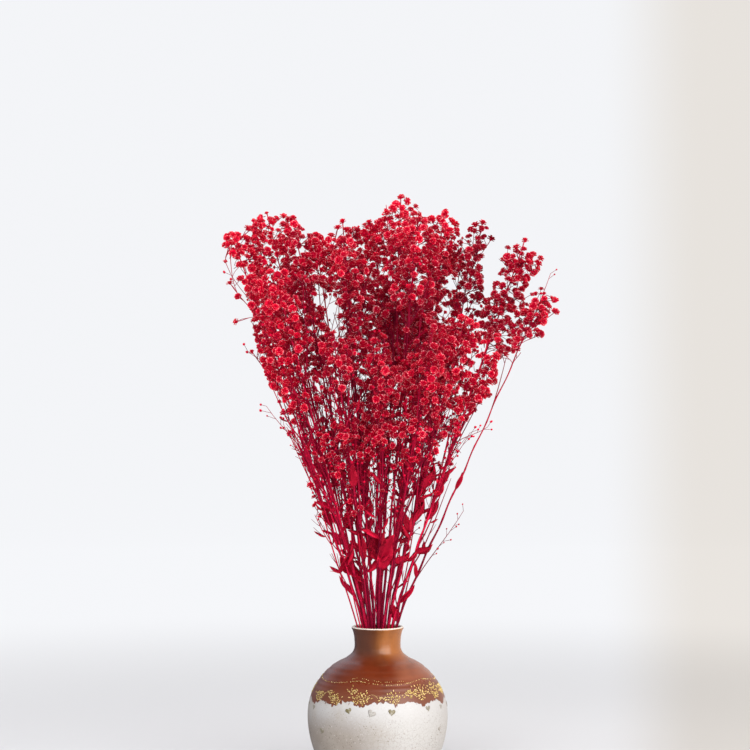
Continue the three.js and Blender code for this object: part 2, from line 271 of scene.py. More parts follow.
def area_light(name, place, width, height, power, colour, mirrored=False):
    """A soft light that faces the flowers. Only a mirrored one shows in the glaze."""
    data = bpy.data.lights.new(name, "AREA")
    data.shape = "RECTANGLE"
    data.size = width
    data.size_y = height
    data.energy = power
    data.color = colour
    light = bpy.data.objects.new(name, data)
    light.location = place
    light.rotation_euler = (AIM - Vector(place)).to_track_quat("-Z", "Y").to_euler()
    light.visible_glossy = mirrored
    bpy.context.scene.collection.objects.link(light)


area_light("side_light", (1.40, -1.65, 1.0), 2.3, 2.5, 66, (1.0, 0.97, 0.93), mirrored=True)
area_light("front_fill", (-0.5, -2.4, 1.2), 1.8, 1.6, 44, (0.97, 0.98, 1.0))
area_light("overhead", (-0.1, -0.3, 2.2), 1.4, 1.4, 26, (1.0, 1.0, 1.0))

# %% The surroundings that the glaze mirrors
FRONT_SKY, LEFT_SKY, RIGHT_SKY = (0.07, 0.06, 0.06), (0.26, 0.27, 0.33), (1.15, 1.0, 0.95)
BACK_LOW, BACK_HIGH, BACK_RIGHT = (0.22, 0.22, 0.27), (0.84, 0.93, 1.10), (1.15, 1.02, 0.95)
SKY_STRENGTH = 0.8

world = bpy.data.worlds.new("pale_surroundings")
world.use_nodes = True
tree = world.node_tree
directions = put(tree, "ShaderNodeTexCoord").outputs["Generated"]
way = put(tree, "ShaderNodeSeparateXYZ", {0: directions}).outputs
front = mixed(tree, ramp(tree, way["X"], -0.05, -0.7), FRONT_SKY, LEFT_SKY)
front = mixed(tree, ramp(tree, way["X"], 0.05, 0.75), front, RIGHT_SKY)
back = mixed(tree, ramp(tree, way["Z"], 0.02, 0.4), BACK_LOW, BACK_HIGH)
back = mixed(tree, ramp(tree, way["X"], -0.4, 0.4), back, BACK_RIGHT)
sky = mixed(tree, ramp(tree, way["Y"], 0.2, 0.8), front, back)
background = tree.nodes["Background"]
tree.links.new(sky, background.inputs["Color"])
background.inputs["Strength"].default_value = SKY_STRENGTH
bpy.context.scene.world = world
bpy.context.scene.view_settings.view_transform = "Standard"
print("surroundings from", FRONT_SKY, "in front to", RIGHT_SKY, "at the right")

# %% [markdown]
# ## The fan
#
# Above the mouth every stem follows a straight line out of one point on the vase's axis, and each
# spray leans right and back by so much for each millimetre that it rises. Every spray owns the
# directions that are nearest to its own, so sprays never cross. These numbers are the model's.

# %% The sprays of the bunch, in millimetres
FAN_APEX_Z = 120
FAN_START_Z = 180
Spray = namedtuple("Spray", "name right back low top spread florets")
SPRAYS = [
    Spray("left_edge", -0.34, -0.03, 398, 548, 0.08, 20),
    Spray("left_front", -0.26, -0.17, 368, 500, 0.085, 17),
    Spray("left_crown", -0.25, 0.09, 455, 572, 0.08, 17),
    Spray("left_inner", -0.19, -0.04, 430, 562, 0.065, 15),
    Spray("left_back", -0.3, 0.22, 390, 520, 0.085, 14),
    Spray("middle_left_front", -0.13, -0.27, 352, 448, 0.085, 14),
    Spray("middle_left", -0.08, -0.13, 366, 540, 0.07, 16),
    Spray("middle_left_crown", -0.08, 0.04, 470, 562, 0.07, 13),
    Spray("middle_front", 0.02, -0.27, 346, 444, 0.085, 15),
    Spray("middle_crown", 0.05, -0.03, 466, 584, 0.07, 18),
    Spray("middle_right", 0.09, -0.16, 430, 558, 0.075, 17),
    Spray("middle_right_front", 0.16, -0.28, 356, 458, 0.085, 14),
    Spray("right_crown", 0.15, 0.03, 450, 572, 0.07, 15),
    Spray("right_front", 0.25, -0.15, 372, 462, 0.085, 16),
    Spray("right_airy", 0.24, 0.02, 440, 560, 0.065, 12),
    Spray("right_top", 0.35, 0.01, 440, 542, 0.07, 15),
    Spray("right_edge", 0.45, -0.03, 440, 488, 0.065, 12),
    Spray("right_low", 0.34, -0.13, 372, 440, 0.06, 9),
    Spray("back_left", -0.15, 0.21, 390, 548, 0.085, 15),
    Spray("back_middle", 0.0, 0.19, 380, 560, 0.085, 16),
    Spray("back_right", 0.16, 0.2, 390, 548, 0.085, 15),
]
GAP_X, GAP_Z, GAP_WIDTH, GAP_HEIGHT = -46, 476, 24, 56  # a hole through the bunch's left half
STEPS = (0.8191725134, 0.6710436067, 0.5497004779)  # steps that fill three directions evenly


def even(index, axis):
    """A number from 0 to 1 that looks random, is evenly spread and is always the same."""
    return (0.5 + index * STEPS[axis]) % 1


def unit(vector):
    return vector / np.linalg.norm(vector)


def in_fan(spray, z, right=0.0, back=0.0):
    """A point at a height in a spray's share of the fan."""
    reach = z - FAN_APEX_Z
    return np.array([(spray.right + right) * reach, (spray.back + back) * reach, z])


def clearance(spray, place):
    """How far a place lies inside its spray's share of the fan."""
    reach = place[2] - FAN_APEX_Z
    lean = place[:2] / reach
    own = np.array([spray.right, spray.back])
    others = np.array([(s.right, s.back) for s in SPRAYS if s is not spray])
    farther = ((lean - others) ** 2).sum(1) - ((lean - own) ** 2).sum()
    apart = np.linalg.norm(others - own, axis=1)
    return (farther / (2 * apart)).min() * reach / math.sqrt(1 + lean @ lean)


def in_gap(place, room=0.0):
    across = (place[0] - GAP_X) / (GAP_WIDTH / 2 + room)
    return math.hypot(across, (place[2] - GAP_Z) / (GAP_HEIGHT / 2 + room)) < 1


print(len(SPRAYS), "sprays")

# %% [markdown]
# ## The outline, the holes and the thin places
#
# A bunch is known by its silhouette: where its heads end, where the background shows through, where
# the front heads are missing so that the eye looks into the dark middle, and where the florets stand
# few. One outline and some ellipses in the camera's view hold all that. Every floret is measured
# against them at the spot where the camera sees it.

# %% The bunch's outline as the camera sees it
OUTLINE = np.array([  # right and up at the vase's axis, in millimetres, round the flowers
    (-158, 547), (-150, 553), (-138, 557), (-126, 564), (-116, 571), (-94, 571), (-78, 561),
    (-60, 555), (-48, 551), (-36, 554), (-26, 561), (-15, 566), (-4, 563), (6, 575), (14, 583),
    (37, 585), (46, 575), (58, 569), (68, 573), (80, 565), (92, 563), (112, 557), (115, 547),
    (109, 533), (107, 521), (108, 498), (108, 486), (116, 503), (118, 518), (126, 531), (128, 543),
    (142, 543), (154, 537), (168, 527), (174, 513), (171, 501), (174, 494), (184, 485), (184, 475),
    (170, 465), (168, 451), (164, 443), (144, 441), (142, 425), (122, 417), (120, 400), (115, 380),
    (104, 373), (88, 359), (85, 333), (84, 298), (56, 280), (50, 240), (30, 165), (-30, 165),
    (-50, 223), (-64, 263), (-72, 303), (-86, 323), (-90, 343), (-99, 373), (-108, 388), (-115, 405),
    (-122, 433), (-126, 452), (-130, 483), (-142, 498), (-144, 521), (-152, 533), (-162, 541)])

# Ellipses in the camera's view, with the share of florets that a thin place keeps
Patch = namedtuple("Patch", "right up width height kept", defaults=[0])
SEEN_HOLES = [  # the background shows through
    Patch(-45, 466, 15, 40), Patch(-38, 452, 18, 22), Patch(-55, 480, 24, 12),
    Patch(-57, 494, 18, 9), Patch(-59, 508, 18, 8)]
HOLLOWS = [Patch(27, 452, 46, 52), Patch(-66, 422, 30, 34), Patch(-81, 492, 20, 24)]
THIN_PLACES = [
    Patch(-46, 382, 100, 68, 0.1), Patch(-76, 338, 46, 84, 0.15), Patch(144, 495, 46, 30, 0.5),
    Patch(150, 455, 34, 24, 0.5), Patch(140, 528, 50, 34, 0.7), Patch(74, 478, 56, 50, 0.4),
    Patch(72, 530, 26, 34, 0.6), Patch(104, 432, 30, 26, 0.6), Patch(76, 312, 44, 66, 0.4)]
THICKENS_FROM, THICKENS_OVER = 0.7, 0.5  # as shares of a patch's half size


def seen(place):
    """Where the camera sees a place, as right and up at the vase's axis."""
    nearer = CAMERA_DISTANCE / (CAMERA_DISTANCE + place[1])
    return np.array([(place[0] - CAMERA_ASIDE) * nearer + CAMERA_ASIDE,
                     (place[2] - CAMERA_HEIGHT) * nearer + CAMERA_HEIGHT])


def seen_from(right, up, back):
    """The place at a depth that the camera sees at a spot."""
    farther = (CAMERA_DISTANCE + back) / CAMERA_DISTANCE
    return np.array([(right - CAMERA_ASIDE) * farther + CAMERA_ASIDE, back,
                     (up - CAMERA_HEIGHT) * farther + CAMERA_HEIGHT])


def off_centre(spot, patch):
    """How far a spot of the camera's view is from a patch's middle, with 1 at its edge."""
    return 2 * math.hypot((spot[0] - patch.right) / patch.width, (spot[1] - patch.up) / patch.height)


def in_any(spot, patches):
    return any(off_centre(spot, patch) < 1 for patch in patches)


def kept_share(spot):
    """The share of florets that grow at a spot, which falls softly towards the thin places."""
    share = 1.0
    for patch in THIN_PLACES:
        thickened = np.clip((off_centre(spot, patch) - THICKENS_FROM) / THICKENS_OVER, 0, 1)
        share *= patch.kept + (1 - patch.kept) * thickened
    return share


def inside_outline(place, room):
    """Whether the camera sees a place inside the bunch's outline, with room to its edge."""
    spot = seen(place)
    ends = np.roll(OUTLINE, -1, axis=0)
    rising = (OUTLINE[:, 1] > spot[1]) != (ends[:, 1] > spot[1])
    step = ends - OUTLINE
    lean = step[:, 0] / np.where(step[:, 1] == 0, 1, step[:, 1])
    crossed = rising & (spot[0] < OUTLINE[:, 0] + (spot[1] - OUTLINE[:, 1]) * lean)
    if crossed.sum() % 2 == 0:
        return False
    return gap_to(OUTLINE, ends, spot[None]).min() > room


print(len(OUTLINE), "points in the outline")

# %% [markdown]
# ## Boughs
#
# A gypsophila stem forks again and again, and each fork leaves its parent at a fair angle. The
# model spreads places for its large florets evenly in each spray and joins each to the nearest
# bough that has room. The same rule is followed here, so that the fine boughs lie in the solids.

# %% The rule that places boughs
STEM_RADIUS, TWIG_RADIUS = 1.45, 0.6
FLORET_ROOM, SPRAY_GAP, BOUGH_ROOM, TWIG_GAP = 6.6, 0.4, 0.8, 0.4
SHARES = np.linspace(0.1, 0.86, 13)  # the places along a bough where a twig may leave it
LEAST_LEAN, MOST_LEAN = 0.35, 1.05
DOME, TOP_HEAVY, MOST_TRIES, ROOT_SHARE = 0.35, 0.85, 600, 0.5
Bough = namedtuple("Bough", "start end parent share thickness")


def gap_to(starts, ends, points):
    """The shortest distances from points to straight pieces."""
    along = ends - starts
    share = ((points - starts) * along).sum(-1) / (along ** 2).sum(-1)
    nearest = starts + np.clip(share, 0, 1)[..., None] * along
    return np.linalg.norm(points - nearest, axis=-1)


def gap_between(a0, a1, b0, b1):
    """The shortest distances between straight pieces a and straight pieces b."""
    u, v, w = a1 - a0, b1 - b0, a0 - b0
    uu, uv, vv = (u * u).sum(-1), (u * v).sum(-1), (v * v).sum(-1)
    uw, vw = (u * w).sum(-1), (v * w).sum(-1)
    s = np.clip((uv * vw - vv * uw) / np.maximum(uu * vv - uv * uv, 1e-9), 0, 1)
    t = np.clip((uv * s + vw) / vv, 0, 1)
    s = np.clip((uv * t - uw) / uu, 0, 1)
    return np.linalg.norm(w + s[..., None] * u - t[..., None] * v, axis=-1)


def twig_to(place, boughs):
    """The shortest twig that leaves a bough at a fair angle, reaches the place and has room."""
    starts = np.array([b.start for b in boughs])
    ends = np.array([b.end for b in boughs])
    room = FLORET_ROOM + BOUGH_ROOM + TWIG_GAP
    if gap_to(starts, ends, place).min() < room:
        return None
    if np.linalg.norm(ends - place, axis=1).min() < 2 * FLORET_ROOM:
        return None
    along = ends - starts
    roots = starts[:, None] + SHARES[None, :, None] * along[:, None]
    twigs = place - roots
    lengths = np.linalg.norm(twigs, axis=-1)
    cosine = (twigs * along[:, None]).sum(-1) / lengths / np.linalg.norm(along, axis=-1)[:, None]
    lean = np.arccos(np.clip(cosine, -1, 1))
    parents, notches = np.nonzero((lean > LEAST_LEAN) & (lean < MOST_LEAN))
    if not len(parents):
        return None
    order = np.argsort(lengths[parents, notches], kind="stable")
    parents, notches = parents[order], notches[order]
    root = roots[parents, notches][:, None]
    clear_ends = gap_to(root, place[None, None], ends[None]) >= room
    clear_lines = gap_between(starts[None], ends[None], root, place[None, None])
    clear_lines = clear_lines > 2 * BOUGH_ROOM + TWIG_GAP
    clear_lines[np.arange(len(parents)), parents] = True
    fits = np.nonzero((clear_ends & clear_lines).all(1))[0]
    if not len(fits):
        return None
    best = fits[0]
    parent, share = parents[best], SHARES[notches[best]]
    grown = boughs[parent].thickness * (1 - share) + TWIG_RADIUS * share
    return Bough(roots[parent, notches[best]], place, parent, share, grown * ROOT_SHARE)


def boughs_of(spray):
    """The leader of a spray and a twig to every other large floret."""
    leader = Bough(in_fan(spray, FAN_START_Z), in_fan(spray, spray.top), None, 0, STEM_RADIUS)
    boughs = [leader]
    for i in range(1, MOST_TRIES):
        if len(boughs) == spray.florets:
            break
        turn = 2 * math.pi * even(i, 0)
        out = math.sqrt(even(i, 1))
        top = spray.top - (spray.top - spray.low) * DOME * out * out
        z = spray.low + (top - spray.low) * even(i, 2) ** TOP_HEAVY
        aside = spray.spread * out
        place = in_fan(spray, z, aside * math.cos(turn), aside * math.sin(turn))
        if in_gap(place) or clearance(spray, place) < FLORET_ROOM + SPRAY_GAP / 2:
            continue
        twig = twig_to(place, boughs)
        if twig:
            boughs.append(twig)
    return boughs


BOUGHS = {spray.name: boughs_of(spray) for spray in SPRAYS}
print(sum(len(boughs) for boughs in BOUGHS.values()), "boughs")

# %% [markdown]
# ## Fine growth
#
# Each bough becomes a slightly bowed stalk that is thicker at its root. At its end stands a cyme:
# a floret in the middle and a stalk to either side that forks again. Smaller cymes stand along the
# bough. Florets scattered by chance would hang in the air and clump. Here each one ends a stalk,
# and only grows where it isn't crowded, which is what keeps a real cloud of gypsophila so even.
#
# The dye is part of the growth too. Some sprays and boughs took up more than others, and buds took
# up more than open florets. Painted shade deepens the tint as well: on the sprays that stand in
# shadow, towards the stems' feet under the flowers, inside the bunch and most in its hollows. So each
# floret, and each point of a stalk, gets its tint as it grows.

# %% What grew on one stem
CROWD_ROOM = 7.3  # the least distance between the middles of two open florets
CROWD_CELL = 8  # the cells of the grid that finds near florets are a little larger
OPEN_KINDS, HALF_OPEN, BUD = (0, 1, 2), 3, 4
LEAF_KINDS = 4


class Crowd:
    """All florets so far, kept in a grid of cells so that near ones are found fast."""

    def __init__(self, cell):
        self.cell = cell
        self.places = {}

    def key(self, place):
        return tuple(int(value // self.cell) for value in place)

    def near(self, place, room):
        i, j, k = self.key(place)
        cells = ((i + a, j + b, k + c) for a in (-1, 0, 1) for b in (-1, 0, 1) for c in (-1, 0, 1))
        return any(np.linalg.norm(other - place) < room
                   for cell in cells for other in self.places.get(cell, ()))

    def add(self, place):
        self.places.setdefault(self.key(place), []).append(place)


# How much paler, or deeper if under 0, each spray is: partly its own dye, partly a painted shade
# on the sprays that stand in shadow, deepest on the airy one at the right
SPRAY_TONES_AND_SHADE = {"right_airy": -0.35, "right_edge": -0.2, "right_top": -0.18, "right_crown": -0.02,
         "right_front": -0.08, "middle_crown": 0.04, "middle_front": -0.17, "middle_left": -0.04,
         "middle_right": -0.04, "middle_right_front": -0.17, "middle_left_front": -0.12,
         "left_edge": 0.05, "left_crown": 0.05}
PALEST_TONE = 0.75
BOUGH_VARIETY = FLORET_VARIETY = 0.14  # how far a bough or a floret strays from its tone
BUD_DEPTH = 0.25
STALK_TINTS, STALK_CONTRAST, LEAST_TINT = (0.35, 0.85), 1.2, 0.05
INNER_SHADE = 0.62  # painted shade: how much deeper the colour is made on the bunch's axis
HOLLOW_SHADE = 0.06  # and how much more in a hollow
LEAN_RIGHT, LEAN_BACK, BUNCH_TOP = 0.45, 0.3, 565  # the fan's outside, as leans, and its top
FLOWERS_LOW, FLOWERS_FULL = 225, 375
FOOT_SHADE, FOOT_TOP = 0.35, 290  # painted shade: the stems darken towards their feet, under the flowers
LOW_SIZE, SIZE_GAIN, GAIN_FROM, GAIN_OVER = 0.8, 0.2, 300, 80  # low florets stay small


def buried(place):
    """How deep a place lies in the flowers: 0 at their outside, near their top and under them."""
    reach = max(place[2] - FAN_APEX_Z, 1)
    outside = math.hypot(place[0] / LEAN_RIGHT, place[1] / LEAN_BACK) / reach
    under_top = min(1, max(0, (BUNCH_TOP - place[2]) / 100))
    in_flowers = min(1, max(0, (place[2] - FLOWERS_LOW) / (FLOWERS_FULL - FLOWERS_LOW)))
    return max(0, 1 - outside) * under_top * in_flowers


def painted_inner_shade(place):
    """A painted shade: how much deeper the colour is made at a place, inside the bunch and most in its
    hollows.
    """
    return INNER_SHADE * buried(place) + HOLLOW_SHADE * in_any(seen(place), HOLLOWS)


class Growth:
    """The stalks, florets and leaves of one spray, in millimetres."""

    def __init__(self, spray, seed):
        self.spray = spray
        self.random = np.random.default_rng(seed)
        self.stalks = []
        self.florets = []
        self.leaves = []
        self.tone = 0.0
        self.line = self.roots = self.ways = None  # known once the stem and its boughs have grown

    def new_tone(self):
        """One bough took up a little more dye than the next."""
        self.tone = self.random.uniform(-BOUGH_VARIETY, BOUGH_VARIETY)

    def stalk(self, points, radii, age):
        points = np.asarray(points)
        # A spray's tone is partly its dye and partly a painted shade
        tint = self.random.uniform(*STALK_TINTS) + STALK_CONTRAST * SPRAY_TONES_AND_SHADE.get(self.spray.name, 0)
        # The stems darken towards their feet and inside the bunch: painted shade
        foot_shade = FOOT_SHADE * np.clip((FOOT_TOP - points[:, 2]) / 100, 0, 1)
        tints = np.maximum(LEAST_TINT, tint - foot_shade - [painted_inner_shade(point) for point in points])
        self.stalks.append((points, np.broadcast_to(radii, len(points)), age, tints))

    def floret(self, place, facing, size, kind):
        # Inside the bunch and in its hollows the tint is lowered: a painted shade
        tint = PALEST_TONE + SPRAY_TONES_AND_SHADE.get(self.spray.name, 0) + self.tone - painted_inner_shade(place)
        strayed = tint + self.random.uniform(-FLORET_VARIETY, FLORET_VARIETY)
        tint = np.clip(strayed - BUD_DEPTH * (kind == BUD), 0, 1)
        flatness = self.random.uniform(0.65, 1.0)
        size *= LOW_SIZE + SIZE_GAIN * np.clip((place[2] - GAIN_FROM) / GAIN_OVER, 0, 1)
        self.florets.append((place, unit(facing), (size, size, size * flatness), kind, tint))

    def leaf(self, place, along, up, length, breadth=None):
        kind = int(self.random.integers(LEAF_KINDS))
        wide = length * (breadth or self.random.uniform(0.9, 1.5))
        self.leaves.append((place, unit(along), unit(up), (length, wide, length), kind,
                            self.random.uniform(0.2, 0.8)))

    def aside(self, axis):
        """A random direction square to an axis."""
        return unit(np.cross(axis, self.random.normal(size=3)))

    def next_side(self, axis, beside):
        """The side for the next pair of twigs, which stands nearly square to the pair before."""
        return unit(np.cross(axis, beside) + 0.3 * self.aside(axis))


def leaning(along, side, lean):
    """The direction that leans from one direction towards another by an angle."""
    return unit(along * math.cos(lean) + side * math.sin(lean))


def bowed(start, end, way, count):
    """A curve that leaves its start along a direction and bends into its end."""
    length = np.linalg.norm(end - start)
    begin = unit(way) * length
    finish = (end - start) * 1.1 + np.array([0, 0, 0.12 * length])
    t = np.linspace(0, 1, count)[:, None]
    return ((2 * t ** 3 - 3 * t ** 2 + 1) * start + (t ** 3 - 2 * t ** 2 + t) * begin
            + (3 * t ** 2 - 2 * t ** 3) * end + (t ** 3 - t ** 2) * finish)


def point_on(points, share):
    """The place and the direction at a share of a line of points."""
    at = share * (len(points) - 1)
    low = min(int(at), len(points) - 2)
    step = points[low + 1] - points[low]
    return points[low] + (at - low) * step, unit(step)


CROWD = Crowd(CROWD_CELL)
BOXES = {s.name: np.array(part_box("spray_" + s.name)) / MM for s in SPRAYS}
print(len(BOXES), "solids' boxes to grow in")

# %% Where a floret may stand
FLORET_RADIUS = 4.0
HOLLOW_BACK = -30  # florets farther back than this stay in the hollows
BOX_ALLOWANCE = 5  # a floret's middle may lie this far outside its solid's box


def in_its_box(growth, place):
    """Whether a place lies within its spray's solid's box, give or take the allowance."""
    low, high = BOXES[growth.spray.name]
    return (place > low - BOX_ALLOWANCE).all() and (place < high + BOX_ALLOWANCE).all()


def has_room(growth, place, room, sure=False):
    """Whether a floret may stand here: uncrowded, in its solid's box, in the outline, off the hole."""
    if sure:
        return not CROWD.near(place, room * 0.7)
    spot = seen(place)
    if not in_its_box(growth, place) or in_any(spot, SEEN_HOLES):
        return False
    if place[1] < HOLLOW_BACK and in_any(spot, HOLLOWS):
        return False
    return not CROWD.near(place, room) and inside_outline(place, FLORET_RADIUS - 0.5)


print("open florets stand", CROWD_ROOM, "mm apart at least")

# %% Cymes: forked heads of florets
PEDICEL_RADIUS = 0.32
BARE_SHARE = 0.2  # where florets are missing, this share of their fine stalks is still there
HALF_OPEN_SHARE, YOUNG_ROOM = 0.16, 0.6  # buds stand closer than open florets
BUD_SIZES, HALF_OPEN_SIZES, OPEN_SIZES = (0.75, 1.05), (0.75, 0.95), (0.82, 1.16)
FORK_AT, FORK_LEAN, FORK_REACH = (0.3, 0.45), (0.6, 0.95), (0.72, 0.9)
# How old each kind of stalk is, which picks its colour and its number of sides
PEDICEL_AGE, YOUNG_AGE, RISER_AGE, TWIG_AGE, BOUGH_AGE = 0.1, 0.35, 0.5, 0.55, 0.6
LOOSE_STEM_AGE, STEM_AGE = 0.9, 1.0


def grow_cyme(growth, root, along, reach, forks, young=0.0, sure=False):
    """A floret at the end of a fine stalk, and a stalk to either side while forks are left."""
    random = growth.random
    tip = root + along * reach
    placed = 0
    room = CROWD_ROOM * (YOUNG_ROOM if random.random() < young else 1)
    middle = root + along * reach * 0.55 + growth.aside(along) * reach * 0.05
    radii = (PEDICEL_RADIUS * 1.2, PEDICEL_RADIUS, PEDICEL_RADIUS * 0.8)
    if not sure and random.random() > kept_share(seen(tip)):
        if random.random() < BARE_SHARE and inside_outline(tip, 0) and in_its_box(growth, tip):
            growth.stalk([root, middle, tip], radii, PEDICEL_AGE)
    elif has_room(growth, tip, room, sure):
        growth.stalk([root, middle, tip], radii, PEDICEL_AGE)
        facing = along + 0.4 * random.normal(size=3) + np.array([0, 0, 0.6])
        if room < CROWD_ROOM:
            growth.floret(tip, facing, random.uniform(*BUD_SIZES), BUD)
        elif random.random() < HALF_OPEN_SHARE:
            growth.floret(tip, facing, random.uniform(*HALF_OPEN_SIZES), HALF_OPEN)
        else:
            kinds = len(OPEN_KINDS)
            growth.floret(tip, facing, random.uniform(*OPEN_SIZES), int(random.integers(kinds)))
        CROWD.add(tip)
        placed += 1
    if forks:
        node = root + along * reach * random.uniform(*FORK_AT)
        beside = growth.aside(along)
        for side in (beside, -beside):
            way = leaning(along, side, random.uniform(*FORK_LEAN))
            shorter = reach * random.uniform(*FORK_REACH)
            placed += grow_cyme(growth, node, way, shorter, forks - 1, young)
    return placed


print("open florets are", OPEN_SIZES, "times their prototype's size")

# %% Boughs with their cymes
BOUGH_POINTS = 9
HEAD_REACH = 13.0
SIDE_LEAN, SIDE_REACH = (0.55, 0.95), (11, 17)
CLOSE_GAP, WIDE_GAP = 8, 11  # between cymes along a bough, on the outermost sprays and elsewhere


def grow_bough(growth, bough, line, forks):
    """The cymes at the end of a bough and along its upper part."""
    random = growth.random
    growth.new_tone()
    tip, way = line[-1], unit(line[-1] - line[-2])
    length = np.linalg.norm(bough.end - bough.start)
    root = point_on(line, max(0.3, 1 - HEAD_REACH / length))[0]
    grow_cyme(growth, root, unit(tip - root), np.linalg.norm(tip - root), forks, sure=True)
    gap = CLOSE_GAP if abs(growth.spray.right) > 0.3 else WIDE_GAP
    beside = growth.aside(way)
    for step in range(max(1, int(length * 0.6 / gap))):
        place, along = point_on(line, max(1 - (step + 1) * gap / length, 0.2))
        if place[2] < growth.spray.low - 8:
            break
        beside = growth.next_side(along, beside)
        for side in (beside, -beside):
            direction = leaning(along, side, random.uniform(*SIDE_LEAN))
            grow_cyme(growth, place, direction, random.uniform(*SIDE_REACH), 1)


print("cymes stand", CLOSE_GAP, "or", WIDE_GAP, "mm apart along a bough")

# %% [markdown]
# ## The stems' lower stretch
#
# Between the mouth and the clouds the stems stand close together, and side twigs, buds and narrow
# leaves fill the space between them. Twigs and leaves stand in pairs at swollen nodes, as they do
# on the plant. The lowest nodes were stripped of their leaves when the bunch was made up, the
# outermost stems at the right carry hardly a twig, and a few thin twigs with young buds stand out
# clear of all the rest.

# %% Stems, nodes, side twigs and leaves
FLOOR_Z, NECK_Z, MOUTH_Z = 6.3, 137, 156
FINE_STEM_RADIUS, FINE_TIP_RADIUS = 1.35, 0.5
NECK_REACH, MOUTH_REACH = 35, 42
NODE_STEP, NODES_FROM, NODE_SWELLING, NODE_LENGTH = 25, 170, 0.28, 3.5
STRIPPED_TO, LEAFY_TOP = 208, 400  # under the first no leaves were left, over the other few grew
LONG_TWIG, SHORTER_TWIGS = (60, 110), (52, 36, 22)  # lengths that are tried in turn
TWIG_STEP = 13  # between the pairs of fine stalks along a side twig
LEAF_CHANCE = 0.11
BareTwig = namedtuple("BareTwig", "on z chord buds")
BARE_TWIGS = [
    BareTwig("right_edge", 196, (51, -12, 76), 9),
    BareTwig("right_edge", 462, (18, 0, 46), 3),
    BareTwig("right_low", 300, (30, -10, 50), 6),
    BareTwig("right_low", 334, (36, -8, 22), 5),
    BareTwig("right_front", 270, (40, -12, 66), 6),
    BareTwig("left_edge", 318, (-44, -6, 58), 7),
    BareTwig("left_edge", 296, (-33, -14, 62), 6),
    BareTwig("left_edge", 405, (-33, -3, 26), 3),
    BareTwig("left_edge", 462, (-30, -2, 44), 3),
    BareTwig("left_inner", 436, (15, 0, 50), 3),
    BareTwig("left_inner", 425, (24, -2, 40), 2),
    BareTwig("back_left", 440, (8, -16, 44), 3),
    BareTwig("middle_left_crown", 430, (-11, 0, 44), 3),
    BareTwig("back_right", 300, (26, 14, 54), 5),
    BareTwig("back_left", 300, (-28, 14, 54), 5),
]


def stem_line(spray, wobble):
    """The stem from the vase's floor to the spray's top, with a slight bend at each node."""
    heights = np.arange(FLOOR_Z, spray.top, 6.0)
    heights = np.append(heights, spray.top)
    reach = np.interp(heights, [FLOOR_Z, NECK_Z, MOUTH_Z, FAN_START_Z, spray.top],
                      [NECK_REACH, NECK_REACH, MOUTH_REACH, FAN_START_Z - FAN_APEX_Z,
                       spray.top - FAN_APEX_Z])
    reach[1:-1] = (reach[:-2] + 2 * reach[1:-1] + reach[2:]) / 4
    sway = 0.9 * np.sin(heights / NODE_STEP * math.pi + wobble) * np.clip((heights - 170) / 60, 0, 1)
    sway *= np.clip((spray.top - heights) / 60, 0, 1)
    return np.stack([spray.right * reach + sway * math.cos(wobble),
                     spray.back * reach + sway * math.sin(wobble), heights], axis=1)


def stem_point(line, z):
    """The place and direction of the stem at a height."""
    at = min(int(np.searchsorted(line[:, 2], z)), len(line) - 1)
    low, high = line[at - 1], line[at]
    share = (z - low[2]) / (high[2] - low[2])
    return low + share * (high - low), unit(high - low)


def bareness(spray):
    """The share of low twigs that a spray lacks: those at the far right of the bunch stand bare."""
    return 0.7 * np.clip((spray.right - 0.22) / 0.12, 0, 1)


def grow_side_twig(growth, root, along, side, z):
    """A long thin twig from a stem's node, with leaves, buds and small cymes."""
    random = growth.random
    widest = 0.32 + 0.2 * np.clip((280 - z) / 60, 0, 1)
    for length in (random.uniform(*LONG_TWIG), *SHORTER_TWIGS):
        chord = leaning(along, side, random.uniform(0.1, widest)) * length
        end = root + chord
        if clearance(growth.spray, end) > 1.5 and inside_outline(end, 0) and in_its_box(growth, end):
            break
    else:
        return
    line = bowed(root, root + chord, along + 0.6 * side, 7)
    thick = 0.42 + length * 0.004
    growth.new_tone()
    growth.stalk(line, np.linspace(thick, PEDICEL_RADIUS, 7), TWIG_AGE)
    flowering = np.clip((z - 225) / 120, 0.0, 0.85)
    budding = 0.05 + 0.2 * flowering
    twiggy = 0.15 + 0.35 * np.clip((z - 215) / 80, 0, 1)
    beside = growth.aside(along)
    for share in np.arange(0.3, 0.99, TWIG_STEP / length):
        place, way = point_on(line, share)
        beside = growth.next_side(way, beside)
        for turn in (beside, -beside):
            direction = leaning(way, turn, random.uniform(0.35, 0.65))
            if random.random() < flowering:
                young = 0.75 - 0.6 * flowering
                grow_cyme(growth, place, direction, random.uniform(9, 14), 1, young)
            elif random.random() < budding:
                grow_cyme(growth, place, direction, random.uniform(8, 15), 0, 1.0)
            elif random.random() < twiggy:
                tip = place + direction * random.uniform(10, 24)
                growth.stalk(bowed(place, tip, direction + 0.4 * turn, 4),
                             np.linspace(0.36, 0.22, 4), PEDICEL_AGE)
            if random.random() < LEAF_CHANCE * (place[2] < LEAFY_TOP + 20):
                growth.leaf(place, way + 0.6 * turn, turn, random.uniform(8, 20))
    if flowering:
        grow_cyme(growth, line[-2], unit(line[-1] - line[-2]), 10, 1 + (random.random() < flowering),
                  0.8 - 0.7 * flowering)


